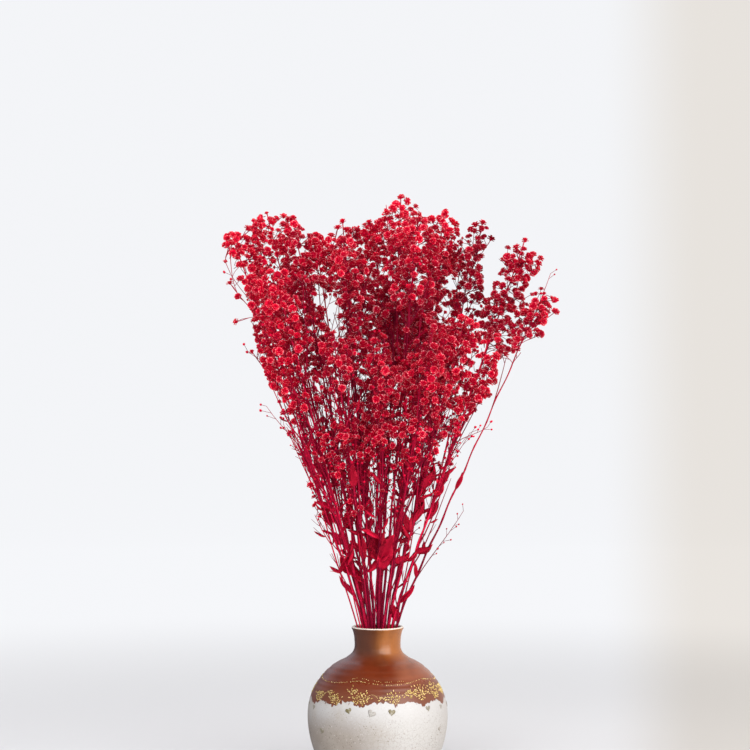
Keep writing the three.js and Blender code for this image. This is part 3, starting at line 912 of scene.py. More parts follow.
def grow_nodes(growth, line, top):
    """The pairs of leaves and side twigs up one stem."""
    random = growth.random
    spray = growth.spray
    z = NODES_FROM + random.uniform(0, NODE_STEP)
    turn = random.uniform(0, math.pi)
    while z < top:
        root, along = stem_point(line, z)
        turn += math.pi / 2 + random.normal() * 0.25
        side = np.array([math.cos(turn), math.sin(turn), 0])
        for away in (side, -side):
            high_up = np.clip((z - 210) / 70, 0, 1)
            if random.random() < (0.35 + 0.43 * high_up) * (1 - bareness(spray)):
                grow_side_twig(growth, root, along, away, z)
            low_down = np.clip((LEAFY_TOP - z) / 200, 0, 1)
            leafy = (0.12 + 0.3 * low_down) * (1 - 0.8 * bareness(spray)) * (z > STRIPPED_TO)
            if random.random() < leafy:
                length = random.uniform(9, 16) + random.uniform(4, 22) * low_down
                droop = np.array([0, 0, random.uniform(0, 0.6)])
                way = unit(along + away * random.uniform(0.05, 0.9) - droop)
                if inside_outline(root + way * length * 0.9, 0):
                    growth.leaf(root, way, away, length)
        z += random.uniform(0.8, 1.2) * NODE_STEP


def grow_bare_twig(growth, twig):
    """A thin forked twig that stands clear of the rest, with a few young buds."""
    root, along = stem_point(growth.line, twig.z)
    chord = np.array(twig.chord, dtype=float)
    line = bowed(root, root + chord, along + 0.4 * unit(chord), 9)
    thick = 0.3 + 0.003 * np.linalg.norm(chord)
    growth.stalk(line, np.linspace(thick, 0.24, 9), YOUNG_AGE)
    for share in np.append(np.linspace(0.42, 0.9, twig.buds - 1), 1.0):
        place, way = point_on(line, share)
        tip = place + unit(way + 0.9 * growth.aside(way)) * growth.random.uniform(4, 11)
        growth.stalk([place, (place + tip) / 2, tip], 0.24, PEDICEL_AGE)
        growth.floret(tip, way, growth.random.uniform(0.6, 1.0), BUD)


def grow_spray(spray, index):
    """One stem of the bunch with all that grew on it."""
    growth = Growth(spray, seed=1000 + index)
    line = stem_line(spray, wobble=2 * math.pi * even(index, 0))
    heights = line[:, 2]
    stout = FINE_STEM_RADIUS * np.interp(spray.florets, [9, 15], [0.72, 1])
    taper = np.interp(heights, [FAN_START_Z, 330, spray.top], [stout, 0.6 * stout, FINE_TIP_RADIUS])
    swelling = 1 + NODE_SWELLING * np.exp(-((heights % NODE_STEP - NODE_STEP / 2) / NODE_LENGTH) ** 2)
    growth.stalk(line, taper * swelling, STEM_AGE)
    boughs = BOUGHS[spray.name]
    lines = [line[heights >= FAN_START_Z]]
    for bough in boughs[1:]:
        start, way = point_on(lines[bough.parent], bough.share)
        chord = unit(bough.end - start)
        curve = bowed(start, bough.end, way + chord, BOUGH_POINTS)
        lines.append(curve)
        radii = np.linspace(bough.thickness * 1.2, PEDICEL_RADIUS * 1.2, BOUGH_POINTS)
        growth.stalk(curve, radii, BOUGH_AGE)
    for bough, curve in zip(boughs, lines):
        grow_bough(growth, bough, curve, forks=3)
    grow_nodes(growth, line, top=spray.low + 0.25 * (spray.top - spray.low))
    growth.line = line
    samples = [point_on(curve, share) for order, curve in enumerate(lines)
               for share in np.linspace(0.03, 0.95, 8 if order else 40)]
    growth.roots, growth.ways = (np.array(column) for column in zip(*samples))
    for twig in BARE_TWIGS:
        if twig.on == spray.name:
            grow_bare_twig(growth, twig)
    return growth


GROWTHS = {spray.name: grow_spray(spray, index) for index, spray in enumerate(SPRAYS)}
print(len(GROWTHS), "stems with their boughs and", len(BARE_TWIGS), "bare twigs")

# %% [markdown]
# ## Loose stems, filling twigs and broad leaves
#
# Thinner stems lean on the rim beside the main ones and cross in front of them. Finer twigs fill
# the places between the heads: spots are spread through a zone at several depths, and each grows
# a twig from the nearest fair place on its own spray. Under the heads bare twigs run up beside
# their stems and fork near their ends. A few broad leaves hang where the eye finds them in the
# photograph.

# %% Loose stems that lean on the rim
LooseStem = namedtuple("LooseStem", "on mouth lean top radius")
LOOSE_STEMS = [
    LooseStem("left_edge", (-20.1, -4.0), (-0.30, -0.06), 412, 0.95),
    LooseStem("left_front", (-17.0, -9.5), (-0.25, -0.13), 372, 0.9),
    LooseStem("left_inner", (-12.0, 2.0), (-0.21, -0.05), 400, 0.85),
    LooseStem("middle_left_front", (-9.0, -15.5), (-0.07, -0.19), 330, 0.9),
    LooseStem("middle_left", (1.0, -12.0), (-0.12, -0.12), 350, 0.85),
    LooseStem("middle_front", (-3.0, -17.5), (0.05, -0.2), 326, 0.9),
    LooseStem("middle_right_front", (5.0, -17.0), (0.16, -0.19), 336, 0.85),
    LooseStem("right_front", (18.5, -8.0), (0.16, -0.12), 352, 0.9),
    LooseStem("right_low", (19.5, -2.0), (0.27, -0.1), 350, 0.85),
    LooseStem("back_right", (10.0, 15.0), (0.1, 0.17), 380, 0.85),
    LooseStem("back_left", (-12.0, 14.0), (-0.08, 0.16), 380, 0.85),
]


def grow_loose_stem(growth, stem):
    """A thinner stem from the vase's floor over its rim, with side twigs and a small head."""
    heights = np.append(np.arange(10, stem.top, 8.0), stem.top)
    share = np.interp(heights, [10, NECK_Z, 147, MOUTH_Z], [0.3, 0.88, 0.9, 1.0])
    above = np.maximum(heights - MOUTH_Z, 0)
    sway = 1.3 * np.sin(heights / 31 + stem.top) * np.clip((heights - 165) / 40, 0, 1)
    line = np.stack([stem.mouth[0] * share + stem.lean[0] * above + sway,
                     stem.mouth[1] * share + stem.lean[1] * above - 0.5 * sway, heights], axis=1)
    growth.stalk(line, np.linspace(stem.radius, 0.45, len(line)), LOOSE_STEM_AGE)
    grow_nodes(growth, line, top=stem.top - 30)
    grow_cyme(growth, line[-2], unit(line[-1] - line[-2]), 14, 2)


for stem in LOOSE_STEMS:
    grow_loose_stem(GROWTHS[stem.on], stem)
print(len(LOOSE_STEMS), "loose stems")

# %% Filling twigs
Fill = namedtuple("Fill", "right up width height near far count young forks")
FILLS = [
    Fill(-127, 540, 30, 38, -25, 25, 14, 0.1, 1),
    Fill(-150, 538, 20, 26, -20, 20, 6, 0.1, 1),
    Fill(80, 536, 28, 54, -20, 35, 16, 0.2, 1),
    Fill(-8, 551, 26, 24, -20, 40, 12, 0.1, 1),
    Fill(136, 530, 24, 24, -20, 25, 9, 0.1, 1),
    Fill(161, 521, 18, 22, -25, 20, 6, 0.1, 1),
    Fill(112, 478, 24, 34, -20, 20, 8, 0.1, 1),
    Fill(142, 472, 72, 22, -25, 20, 16, 0.1, 1),
    Fill(132, 453, 28, 22, -25, 20, 10, 0.1, 1),
    Fill(130, 432, 30, 22, -25, 20, 14, 0.1, 1),
    Fill(76, 354, 28, 24, -60, 20, 10, 0.3, 1),
    Fill(-108, 392, 20, 22, -30, 30, 6, 0.1, 1),
    Fill(27, 452, 48, 54, -28, 90, 90, 0.0, 2),
    Fill(26, 444, 34, 54, 10, 95, 80, 0.0, 2),
    Fill(-8, 370, 20, 44, -50, 50, 16, 0.1, 2),
    Fill(-66, 422, 32, 36, -15, 60, 10, 0.1, 2),
    Fill(-81, 492, 24, 28, -15, 50, 6, 0.1, 2),
    Fill(98, 372, 36, 60, -50, 30, 14, 0.2, 1),
    Fill(92, 336, 34, 46, -50, 30, 10, 0.4, 1),
    Fill(-36, 330, 38, 38, -95, -10, 18, 0.15, 2),
    Fill(17, 333, 56, 42, -95, -10, 20, 0.15, 2),
    Fill(0, 306, 130, 70, -80, 60, 14, 0.5, 1),
    Fill(-84, 356, 22, 26, -50, 30, 6, 0.2, 1),
    Fill(92, 533, 20, 20, -20, 30, 6, 0.1, 1),
    Fill(152, 512, 20, 18, -20, 20, 6, 0.1, 1),
    Fill(-9, 458, 20, 22, -30, 60, 10, 0.1, 1),
]
FILL_LEAN, LEAST_FILL = (0.18, 1.05), 9  # the angle that a twig leaves at, and how short it may be


def roots_towards(place):
    """The growth that owns a place, and the reach, length and lean from each of its roots."""
    lean = place[:2] / (place[2] - FAN_APEX_Z)
    spray = min(SPRAYS, key=lambda s: math.hypot(lean[0] - s.right, lean[1] - s.back))
    growth = GROWTHS[spray.name]
    reach = place - growth.roots
    lengths = np.linalg.norm(reach, axis=1)
    leans = np.arccos(np.clip((reach * growth.ways).sum(1) / lengths, -1, 1))
    return growth, reach, lengths, leans


def grow_filling_twig(place, forks, young):
    """A twig to a place from the nearest point of its spray that it leaves at a fair angle."""
    growth, reach, lengths, leans = roots_towards(place)
    fair = (leans > FILL_LEAN[0]) & (leans < FILL_LEAN[1]) & (lengths > LEAST_FILL)
    if not fair.any() or clearance(growth.spray, place) < 1:
        return 0
    best = np.argmin(np.where(fair, lengths, np.inf))
    length = lengths[best]
    line = bowed(growth.roots[best], place, growth.ways[best] + 0.5 * unit(reach[best]), 6)
    growth.new_tone()
    placed = grow_cyme(growth, line[-2], unit(line[-1] - line[-2]), 10, forks, young)
    for share in np.arange(0.5, 0.92, 14 / length):
        start, way = point_on(line, share)
        for _ in range(2):
            direction = unit(way + 0.7 * growth.aside(way))
            placed += grow_cyme(growth, start, direction, growth.random.uniform(8, 13), 0, young)
    if placed:
        growth.stalk(line, np.linspace(0.3 + 0.004 * length, PEDICEL_RADIUS, 6), YOUNG_AGE)
    return placed


fill_random = np.random.default_rng(77)
for fill in FILLS:
    placed = 0
    for _ in range(fill.count):
        turn = fill_random.uniform(0, 2 * math.pi)
        out = 0.5 * math.sqrt(fill_random.random())
        right = fill.right + fill.width * out * math.cos(turn)
        up = fill.up + fill.height * out * math.sin(turn)
        place = seen_from(right, up, fill_random.uniform(fill.near, fill.far))
        placed += grow_filling_twig(place, fill.forks, fill.young)
    print("filling at", (fill.right, fill.up), "gave", placed, "florets")

# %% Bare risers
Riser = namedtuple("Riser", "right up width height near far count")
RISERS = [
    Riser(-46, 400, 76, 50, -95, 20, 34), Riser(-78, 358, 36, 56, -60, 20, 22),
    Riser(-8, 376, 22, 60, -60, 50, 22), Riser(30, 352, 60, 50, -95, 0, 22),
    Riser(78, 366, 44, 50, -60, 20, 20), Riser(124, 408, 30, 40, -30, 20, 10),
    Riser(0, 320, 120, 60, -80, 60, 24)]
RISER_LEAN, RISER_LENGTH, RISER_RADIUS = (0.04, 0.26), (40, 120), 0.62
RISER_FORKS = (0.55, 0.75, 0.9)  # as shares of its length


def grow_riser(place):
    """A thin bare twig that runs up beside its stem to a place and forks near its end."""
    growth, reach, lengths, leans = roots_towards(place)
    fair = (leans > RISER_LEAN[0]) & (leans < RISER_LEAN[1])
    fair = np.nonzero(fair & (lengths > RISER_LENGTH[0]) & (lengths < RISER_LENGTH[1]))[0]
    if not len(fair) or clearance(growth.spray, place) < 1 or not inside_outline(place, 2):
        return 0
    best = growth.random.choice(fair)
    line = bowed(growth.roots[best], place, growth.ways[best] + unit(reach[best]), 6)
    growth.stalk(line, np.linspace(RISER_RADIUS, PEDICEL_RADIUS, 6), RISER_AGE)
    for share in RISER_FORKS:
        start, way = point_on(line, share)
        direction = unit(way + 0.5 * growth.aside(way))
        grow_cyme(growth, start, direction, growth.random.uniform(9, 18), 0, 0.7)
    return 1


for zone in RISERS:
    lowest = (zone.right - zone.width / 2, zone.up - zone.height / 2, zone.near)
    highest = (zone.right + zone.width / 2, zone.up + zone.height / 2, zone.far)
    spots = fill_random.uniform(lowest, highest, (zone.count, 3))
    print("risers at", (zone.right, zone.up), sum(grow_riser(seen_from(*spot)) for spot in spots))

# %% Broad leaves
LEAF_BREADTH = 0.3  # how broad a leaf's prototype is, as a share of its length
# The root and the tip in the camera's view, right and up, and the breadth as a share of the length
BROAD_LEAVES = [
    ((-51.6, 255), (-66.6, 284), 0.28), ((-40.6, 222), (-20.6, 192), 0.38),
    ((-16.6, 185), (-26, 224), 0.2), ((-14, 222), (-25.6, 262), 0.3), ((2, 212), (16.4, 266), 0.3),
    ((17, 221), (36, 236), 0.55), ((36.4, 230), (57.5, 241), 0.5), ((25, 160), (16.4, 184), 0.42),
    ((22, 178), (42.4, 204), 0.26), ((36.4, 260), (49.4, 292), 0.3), ((49, 293), (64.4, 326), 0.42),
    ((41.4, 284), (61, 294), 0.22), ((62, 292), (77.4, 318), 0.24), ((70, 292), (78, 316), 0.28),
    ((40.4, 204), (36.4, 226), 0.26), ((5.4, 210), (8.4, 232), 0.34), ((-27.6, 296), (-33, 328), 0.34),
    ((-9, 280), (-15, 330), 0.24), ((30, 250), (22, 276), 0.32)]


def hang_broad_leaf(root_spot, tip_spot, breadth, side):
    """A leaf on the stem that is seen nearest to its root, in front (side -1) or behind (side 1)."""
    right, up = root_spot
    owners = [g for g in GROWTHS.values() if side * g.spray.back > -0.1]
    growth = min(owners, key=lambda g: abs(seen(stem_point(g.line, up)[0])[0] - right))
    root = stem_point(growth.line, up)[0]
    across, rise = tip_spot[0] - right, tip_spot[1] - up
    length = math.hypot(across, rise)
    growth.leaf(root, np.array([across, side * 0.25 * length, rise]), np.array([0.2, side, 0.25]),
                length, breadth / LEAF_BREADTH)


for root_spot, tip_spot, breadth in BROAD_LEAVES:
    hang_broad_leaf(root_spot, tip_spot, breadth, -1)
# Every second one hangs at the back too, mirrored and a little higher
for (root_x, root_z), (tip_x, tip_z), breadth in BROAD_LEAVES[::2]:
    hang_broad_leaf((-root_x, root_z + 6), (-tip_x, tip_z + 6), breadth, 1)
print(sum(len(g.stalks) for g in GROWTHS.values()), "stalks",
      sum(len(g.florets) for g in GROWTHS.values()), "florets",
      sum(len(g.leaves) for g in GROWTHS.values()), "leaves")

# %% [markdown]
# ## One floret, a few dozen faces
#
# A double floret is a round pompom of small blunt petals in three rings, pale at the rim, partly
# where the dye is thin and partly as a painted highlight. It is repeated thousands of times, so each
# petal is only a blunt kite with a keel under it: three faces, closed, and enough to catch the light
# like a real one.

# %% Florets and buds as small closed shells
def shell_parts():
    return {"vertices": [], "faces": [], "rim": []}


def add_part(parts, vertices, faces, rim):
    first = len(parts["vertices"])
    parts["vertices"] += [tuple(v) for v in vertices]
    parts["faces"] += [tuple(first + i for i in face) for face in faces]
    parts["rim"] += list(rim)


PETAL_SHOULDER = 0.8  # a petal is widest at this share of its length


def add_petal(parts, turn, root, tip, half_width, cup, keel=0.45):
    """One petal as a kite that is widest near its tip, with its edges raised by the cup."""
    out = np.array([math.cos(turn), math.sin(turn), 0])
    side = np.array([-math.sin(turn), math.cos(turn), 0])
    start = out * root[0] + np.array([0, 0, root[1]])
    end = out * tip[0] + np.array([0, 0, tip[1]])
    middle = start + (end - start) * PETAL_SHOULDER
    lift = unit(np.cross(end - start, side))
    lift *= 1 if lift[2] > 0 or root[1] > tip[1] else -1
    edge = middle + lift * cup
    spots = [start, edge - side * half_width, end, edge + side * half_width, middle - lift * keel]
    # The rim value is 0 at the root and low at the keel, where the dye paints shade, and high at the
    # edges and tip
    add_part(parts, spots, [(0, 3, 2, 1), (0, 1, 2, 4), (0, 4, 2, 3)], [0, 0.75, 1, 0.75, 0.1])


def add_cup(parts, rings, sides=5, rim=0.0):
    """A closed body of a few rings about the axis, such as a calyx or a bud."""
    vertices, faces = revolve([(0, rings[0][1])] + rings + [(0, rings[-1][1] + 0.3)], sides)
    add_part(parts, vertices, faces, [rim * (v[2] > rings[0][1] + 1) for v in vertices])


def floret_kind(whorls, calyx, rng):
    """A calyx with petals in rings. Each ring is (count, root, tip, half width, cup)."""
    parts = shell_parts()
    add_cup(parts, calyx)
    for order, (count, root, tip, half_width, cup) in enumerate(whorls):
        for i in range(count):
            turn = 2 * math.pi * (i + 0.5 * order + rng.uniform(-0.16, 0.16)) / count
            stretch = rng.uniform(0.9, 1.08)
            end = (tip[0] * stretch, tip[1] + rng.uniform(-0.45, 0.45))
            add_petal(parts, turn, root, end, half_width * rng.uniform(0.85, 1.15), cup)
    return parts


CALYX = [(0.7, -2.6), (1.9, -0.6)]
OPEN_WHORLS = [
    (6, (0.6, -1.2), (4.1, -1.3), 2.0, 0.45),
    (6, (0.5, -0.9), (4.0, 1.2), 2.0, 0.6),
    (4, (0.3, -0.3), (2.5, 2.9), 1.7, 0.5),
]
HALF_OPEN_WHORLS = [
    (5, (0.6, -1.3), (3.2, 0.6), 1.8, 0.5),
    (4, (0.3, -0.8), (2.1, 2.4), 1.5, 0.4),
]
BUD_RINGS = [(0.5, -1.8), (1.35, -0.8), (1.5, 0.4), (0.7, 1.8)]
prototype_random = np.random.default_rng(7)
floret_kinds = [floret_kind(OPEN_WHORLS, CALYX, prototype_random) for _ in OPEN_KINDS]
floret_kinds.append(floret_kind(HALF_OPEN_WHORLS, CALYX, prototype_random))
bud = shell_parts()
add_cup(bud, BUD_RINGS, rim=0.6)
floret_kinds.append(bud)
print("faces of each kind", [len(kind["faces"]) for kind in floret_kinds])

# %% [markdown]
# ## Leaves
#
# The leaves dried as they hung: some lie flat, some folded along the rib, some curled or twisted.
# A single sheet would be simpler, but it has no edge to catch the light. So a leaf is a flattened
# tube of a few rows that closes at both ends, one unit long, and each kind bends it in its own way.

# %% The kinds of leaf
LEAF_ROWS, LEAF_HALF_WIDTH, LEAF_THICK = 8, 0.13, 0.014
LEAF_ARCH, LEAF_CURL = 0.22, 0.12
LEAF_SECTION = [(-1, 0), (-0.5, 1), (0, 1), (0.5, 1), (1, 0), (0, -1)]


def leaf_kind(fold, arch, twist, width):
    """A leaf one unit long along X, with Z up. The fold lifts its edges, and the twist turns it."""
    vertices, faces, rim = [(0, 0, 0)], [], [0.0]
    for row in range(1, LEAF_ROWS):
        t = row / LEAF_ROWS
        half = LEAF_HALF_WIDTH * width * math.sin(math.pi * t ** 0.8) ** 0.8
        turn = twist * t * t
        for across, over in LEAF_SECTION:
            y = across * half * math.cos(fold * abs(across))
            z = abs(across) * half * math.sin(fold * abs(across)) + over * LEAF_THICK
            z += 0.012 * math.sin(9 * t + 3 * across) * abs(across)
            vertices.append((t * (1 - LEAF_CURL * t), y * math.cos(turn) - z * math.sin(turn),
                             y * math.sin(turn) + z * math.cos(turn) + arch * t * t))
            rim.append(abs(across))
    vertices.append((1 - LEAF_CURL, 0, arch))
    rim.append(1.0)
    count = len(LEAF_SECTION)
    for i in range(count):
        j = (i + 1) % count
        faces.append((0, 1 + j, 1 + i))
        for low in range(1, len(vertices) - 1 - count, count):
            faces.append((low + i, low + j, low + count + j, low + count + i))
        faces.append((len(vertices) - 1 - count + i, len(vertices) - 1 - count + j, len(vertices) - 1))
    return {"vertices": vertices, "faces": faces, "rim": rim}


leaf_kinds = [
    leaf_kind(fold=0.3, arch=LEAF_ARCH, twist=0.4, width=1.0),
    leaf_kind(fold=1.1, arch=LEAF_ARCH, twist=0.9, width=1.5),
    leaf_kind(fold=0.5, arch=0.4, twist=-1.2, width=1.2),
    leaf_kind(fold=0.8, arch=0.05, twist=1.9, width=1.1),
]
print("faces of each leaf", [len(kind["faces"]) for kind in leaf_kinds])

# %% [markdown]
# ## Geometry Nodes
#
# What repeats is placed by node trees. One tree turns lines into round stalks, with more sides on
# thick ones. The other puts one of several kinds of thing at each point, turned by the point's
# own two directions. Both end in Realize Instances and Set Material, so that what comes out is
# plain mesh. A loop could place and join the copies too, but it would be far slower.

# %% Trees and the way they are run
def geometry_tree(name, inputs):
    """A geometry tree with a Geometry input and output and further named inputs."""
    tree = bpy.data.node_groups.new(name, "GeometryNodeTree")
    tree.interface.new_socket("Geometry", in_out="INPUT", socket_type="NodeSocketGeometry")
    for label, kind in inputs:
        tree.interface.new_socket(label, in_out="INPUT", socket_type="NodeSocket" + kind)
    tree.interface.new_socket("Geometry", in_out="OUTPUT", socket_type="NodeSocketGeometry")
    return tree, tree.nodes.new("NodeGroupInput").outputs


def attribute(tree, name, kind):
    inputs = {"Name": name}
    return put(tree, "GeometryNodeInputNamedAttribute", inputs, data_type=kind).outputs["Attribute"]


def close_tree(tree, geometry, material, smooth):
    """The tree's last nodes: plain mesh, its shading, its material and the output."""
    real = put(tree, "GeometryNodeRealizeInstances", {"Geometry": geometry})
    shaded = put(tree, "GeometryNodeSetShadeSmooth",
                 {"Geometry": real.outputs[0], "Shade Smooth": smooth})
    painted = put(tree, "GeometryNodeSetMaterial",
                  {"Geometry": shaded.outputs[0], "Material": material})
    put(tree, "NodeGroupOutput", {"Geometry": painted.outputs[0]})


def run_tree(name, source, tree, values):
    """The plain mesh that a tree makes from a source mesh, as a new object at the origin."""
    holder = bpy.data.objects.new(name + "_source", source)
    bpy.context.scene.collection.objects.link(holder)
    modifier = holder.modifiers.new("grow", "NODES")
    modifier.node_group = tree
    sockets = {item.name: item.identifier for item in tree.interface.items_tree
               if item.in_out == "INPUT"}
    for label, value in values.items():
        modifier[sockets[label]] = value
    graph = bpy.context.evaluated_depsgraph_get()
    mesh = bpy.data.meshes.new_from_object(holder.evaluated_get(graph))
    bpy.data.objects.remove(holder)
    mesh.name = name
    made = bpy.data.objects.new(name, mesh)
    bpy.context.scene.collection.objects.link(made)
    return made


# %% The tree that makes round stalks of lines
def stalk_tree():
    tree, given = geometry_tree("round_stalks", [
        ("Stem Sides", "Int"), ("Twig Sides", "Int"), ("Pedicel Sides", "Int"),
        ("Material", "Material")])
    age = attribute(tree, "age", "FLOAT")
    thickness = attribute(tree, "thickness", "FLOAT")
    tubes = put(tree, "GeometryNodeJoinGeometry")
    for label, low, high in (("Stem Sides", 0.8, 2), ("Twig Sides", 0.2, 0.8),
                             ("Pedicel Sides", -1, 0.2)):
        over = calculate(tree, "GREATER_THAN", age, low)
        under = calculate(tree, "LESS_THAN", age, high)
        chosen = calculate(tree, "MULTIPLY", over, under)
        part = put(tree, "GeometryNodeSeparateGeometry",
                   {"Geometry": given["Geometry"], "Selection": chosen})
        curve = put(tree, "GeometryNodeMeshToCurve", {"Mesh": part.outputs[0]})
        circle = put(tree, "GeometryNodeCurvePrimitiveCircle",
                     {"Resolution": given[label], "Radius": 1.0})
        tube = put(tree, "GeometryNodeCurveToMesh",
                   {"Curve": curve.outputs[0], "Profile Curve": circle.outputs[0],
                    "Scale": thickness, "Fill Caps": True})
        tree.links.new(tube.outputs[0], tubes.inputs[0])
    close_tree(tree, tubes.outputs[0], given["Material"], True)
    return tree


STALK_TREE = stalk_tree()
print(STALK_TREE.name, "of", len(STALK_TREE.nodes), "nodes")

# %% The tree that puts kinds of things at points
def planting_tree():
    tree, given = geometry_tree("planted_kinds", [
        ("Kinds", "Collection"), ("Spin", "Float"), ("Seed", "Int"), ("Smooth", "Bool"),
        ("Material", "Material")])
    kinds = put(tree, "GeometryNodeCollectionInfo",
                {"Collection": given["Kinds"], "Separate Children": True, "Reset Children": True})
    turned = put(tree, "FunctionNodeAxesToRotation",
                 {"Primary Axis": attribute(tree, "facing", "FLOAT_VECTOR"),
                  "Secondary Axis": attribute(tree, "beside", "FLOAT_VECTOR")},
                 primary_axis="Z", secondary_axis="X")
    angle = put(tree, "FunctionNodeRandomValue",
                {3: given["Spin"], "Seed": given["Seed"]}, data_type="FLOAT")
    spin = put(tree, "FunctionNodeAxisAngleToRotation", {"Angle": angle.outputs[1]})
    spun = put(tree, "FunctionNodeRotateRotation",
               {"Rotation": turned.outputs[0], "Rotate By": spin.outputs[0]},
               rotation_space="LOCAL")
    planted = put(tree, "GeometryNodeInstanceOnPoints",
                  {"Points": given["Geometry"], "Instance": kinds.outputs[0],
                   "Pick Instance": True, "Instance Index": attribute(tree, "kind", "INT"),
                   "Rotation": spun.outputs[0], "Scale": attribute(tree, "size", "FLOAT_VECTOR")})
    close_tree(tree, planted.outputs[0], given["Material"], given["Smooth"])
    return tree


PLANTING_TREE = planting_tree()
print(PLANTING_TREE.name, "of", len(PLANTING_TREE.nodes), "nodes")

# %% Source meshes for the trees
def with_attributes(mesh, values):
    """Named values on a mesh's points: whole numbers, numbers or directions."""
    for name, data in values.items():
        data = np.asarray(data)
        if data.ndim == 2:
            kind, field = "FLOAT_VECTOR", "vector"
        elif data.dtype.kind == "i":
            kind, field = "INT", "value"
        else:
            kind, field = "FLOAT", "value"
        mesh.attributes.new(name, kind, "POINT").data.foreach_set(field, data.ravel())
    return mesh


def points_mesh(name, places, **values):
    mesh = bpy.data.meshes.new(name)
    mesh.from_pydata([tuple(place) for place in places], [], [])
    return with_attributes(mesh, values)


def lines_mesh(name, lines):
    """Lines of points as edges, with the thickness, age and tint of each point, in metres."""
    points = np.concatenate([line for line, _, _, _ in lines]) * MM
    thickness = np.concatenate([radii for _, radii, _, _ in lines]) * MM
    ages = np.concatenate([np.full(len(line), age) for line, _, age, _ in lines])
    tints = np.concatenate([tints for _, _, _, tints in lines])
    edges, first = [], 0
    for line, _, _, _ in lines:
        edges += [(first + i, first + i + 1) for i in range(len(line) - 1)]
        first += len(line)
    mesh = bpy.data.meshes.new(name)
    mesh.from_pydata([tuple(p) for p in points], edges, [])
    return with_attributes(mesh, {"thickness": thickness, "age": ages, "tint": tints})


def kinds_collection(name, kinds):
    """A collection of hidden prototypes, named so that their order is kept."""
    collection = bpy.data.collections.new(name)
    for order, kind in enumerate(kinds):
        vertices = np.array(kind["vertices"]) * MM
        made = mesh_object(f"{name}_{order}", vertices, kind["faces"])
        with_attributes(made.data, {"rim": np.array(kind["rim"], dtype=float)})
        bpy.context.scene.collection.objects.unlink(made)
        collection.objects.link(made)
    return collection


# %% [markdown]
# ## Dyed plant material
#
# Florets, stalks and leaves took up one crimson dye, but unevenly: it is deep where the tint is low,
# which is partly the dye and partly painted shade, and deep at a floret's heart and under its petals,
# which is painted shade. It is bright on the face of a petal, and pink at an edge, partly where the
# dye stayed thin and partly as a painted highlight. A painted image would be the same on every
# floret, so the colour is worked out from each spot's place and from the tint that it grew with. One
# node group holds that effect, and each material gives it its own three colours.
# Petals are so thin that light comes through them from all sides, and a faint glow of their own
# colour stands for that.

# %% The dye as a node group
def dye_group():
    """Colour, roughness and height of dyed plant tissue, with its painted shade and painted highlight.
    """
    tree = bpy.data.node_groups.new("uneven_dye", "ShaderNodeTree")
    for label, kind in (("Deep", "Color"), ("Bright", "Color"), ("Edge", "Color"), ("Rim", "Float"),
                        ("Tint", "Float"), ("Grain", "Float")):
        tree.interface.new_socket(label, in_out="INPUT", socket_type="NodeSocket" + kind)
    for label, kind in (("Color", "Color"), ("Roughness", "Float"), ("Height", "Float")):
        tree.interface.new_socket(label, in_out="OUTPUT", socket_type="NodeSocket" + kind)
    given = tree.nodes.new("NodeGroupInput").outputs
    place = object_place(tree)
    grain = put(tree, "ShaderNodeTexNoise",
                {"Vector": place, "Scale": given["Grain"], "Detail": 4.0, "Roughness": 0.7})
    patches = calculate(tree, "MULTIPLY", noise(tree, place, 50, 4), 0.5)
    depth = calculate(tree, "ADD", patches, calculate(tree, "MULTIPLY", given["Tint"], 0.75))
    base = mixed(tree, ramp(tree, depth, 0.2, 1.0), given["Deep"], given["Bright"])
    # Where Rim is low the colour turns deep: at a floret's heart and under its petals this is a
    # painted shade. On stalks it darkens the fine ones, and on a leaf its middle
    shade = calculate(tree, "MULTIPLY_ADD", given["Rim"], 0.75, 0.25)
    body = mixed(tree, shade, given["Deep"], base)
    # Pale pink at the outer edges of petals, only on pale tints: partly thin dye, partly a painted
    # highlight
    thin_dye_and_highlight = calculate(tree, "MULTIPLY", ramp(tree, given["Rim"], 0.62, 0.95),
                     ramp(tree, grain.outputs[0], 0.47, 0.60))
    thin_dye_and_highlight = calculate(tree, "MULTIPLY", thin_dye_and_highlight, ramp(tree, given["Tint"], -0.1, 0.35))
    colour = mixed(tree, calculate(tree, "MULTIPLY", thin_dye_and_highlight, 0.9), body, given["Edge"])
    rough = calculate(tree, "MULTIPLY_ADD", grain.outputs[0], 0.3, 0.5)
    put(tree, "NodeGroupOutput",
        {"Color": colour, "Roughness": rough, "Height": grain.outputs[0]})
    return tree


DYE = dye_group()


def dyed_material(name, deep, bright, edge, grain, rim_name, bump, **constants):
    """A material that takes the dye group's colours, with its own values."""
    material, tree, shader = new_material(name, **constants)
    dye = put(tree, "ShaderNodeGroup", node_tree=DYE)
    for label, value in (("Deep", deep), ("Bright", bright), ("Edge", edge)):
        dye.inputs[label].default_value = (*value, 1)
    dye.inputs["Grain"].default_value = grain
    tree.links.new(stored_value(tree, rim_name), dye.inputs["Rim"])
    tree.links.new(stored_value(tree, "tint"), dye.inputs["Tint"])
    relief = put(tree, "ShaderNodeBump",
                 {"Height": dye.outputs["Height"], "Strength": bump, "Distance": 0.0004})
    tree.links.new(dye.outputs["Color"], shader.inputs["Base Color"])
    tree.links.new(dye.outputs["Color"], shader.inputs["Emission Color"])
    tree.links.new(dye.outputs["Roughness"], shader.inputs["Roughness"])
    tree.links.new(relief.outputs[0], shader.inputs["Normal"])
    return material


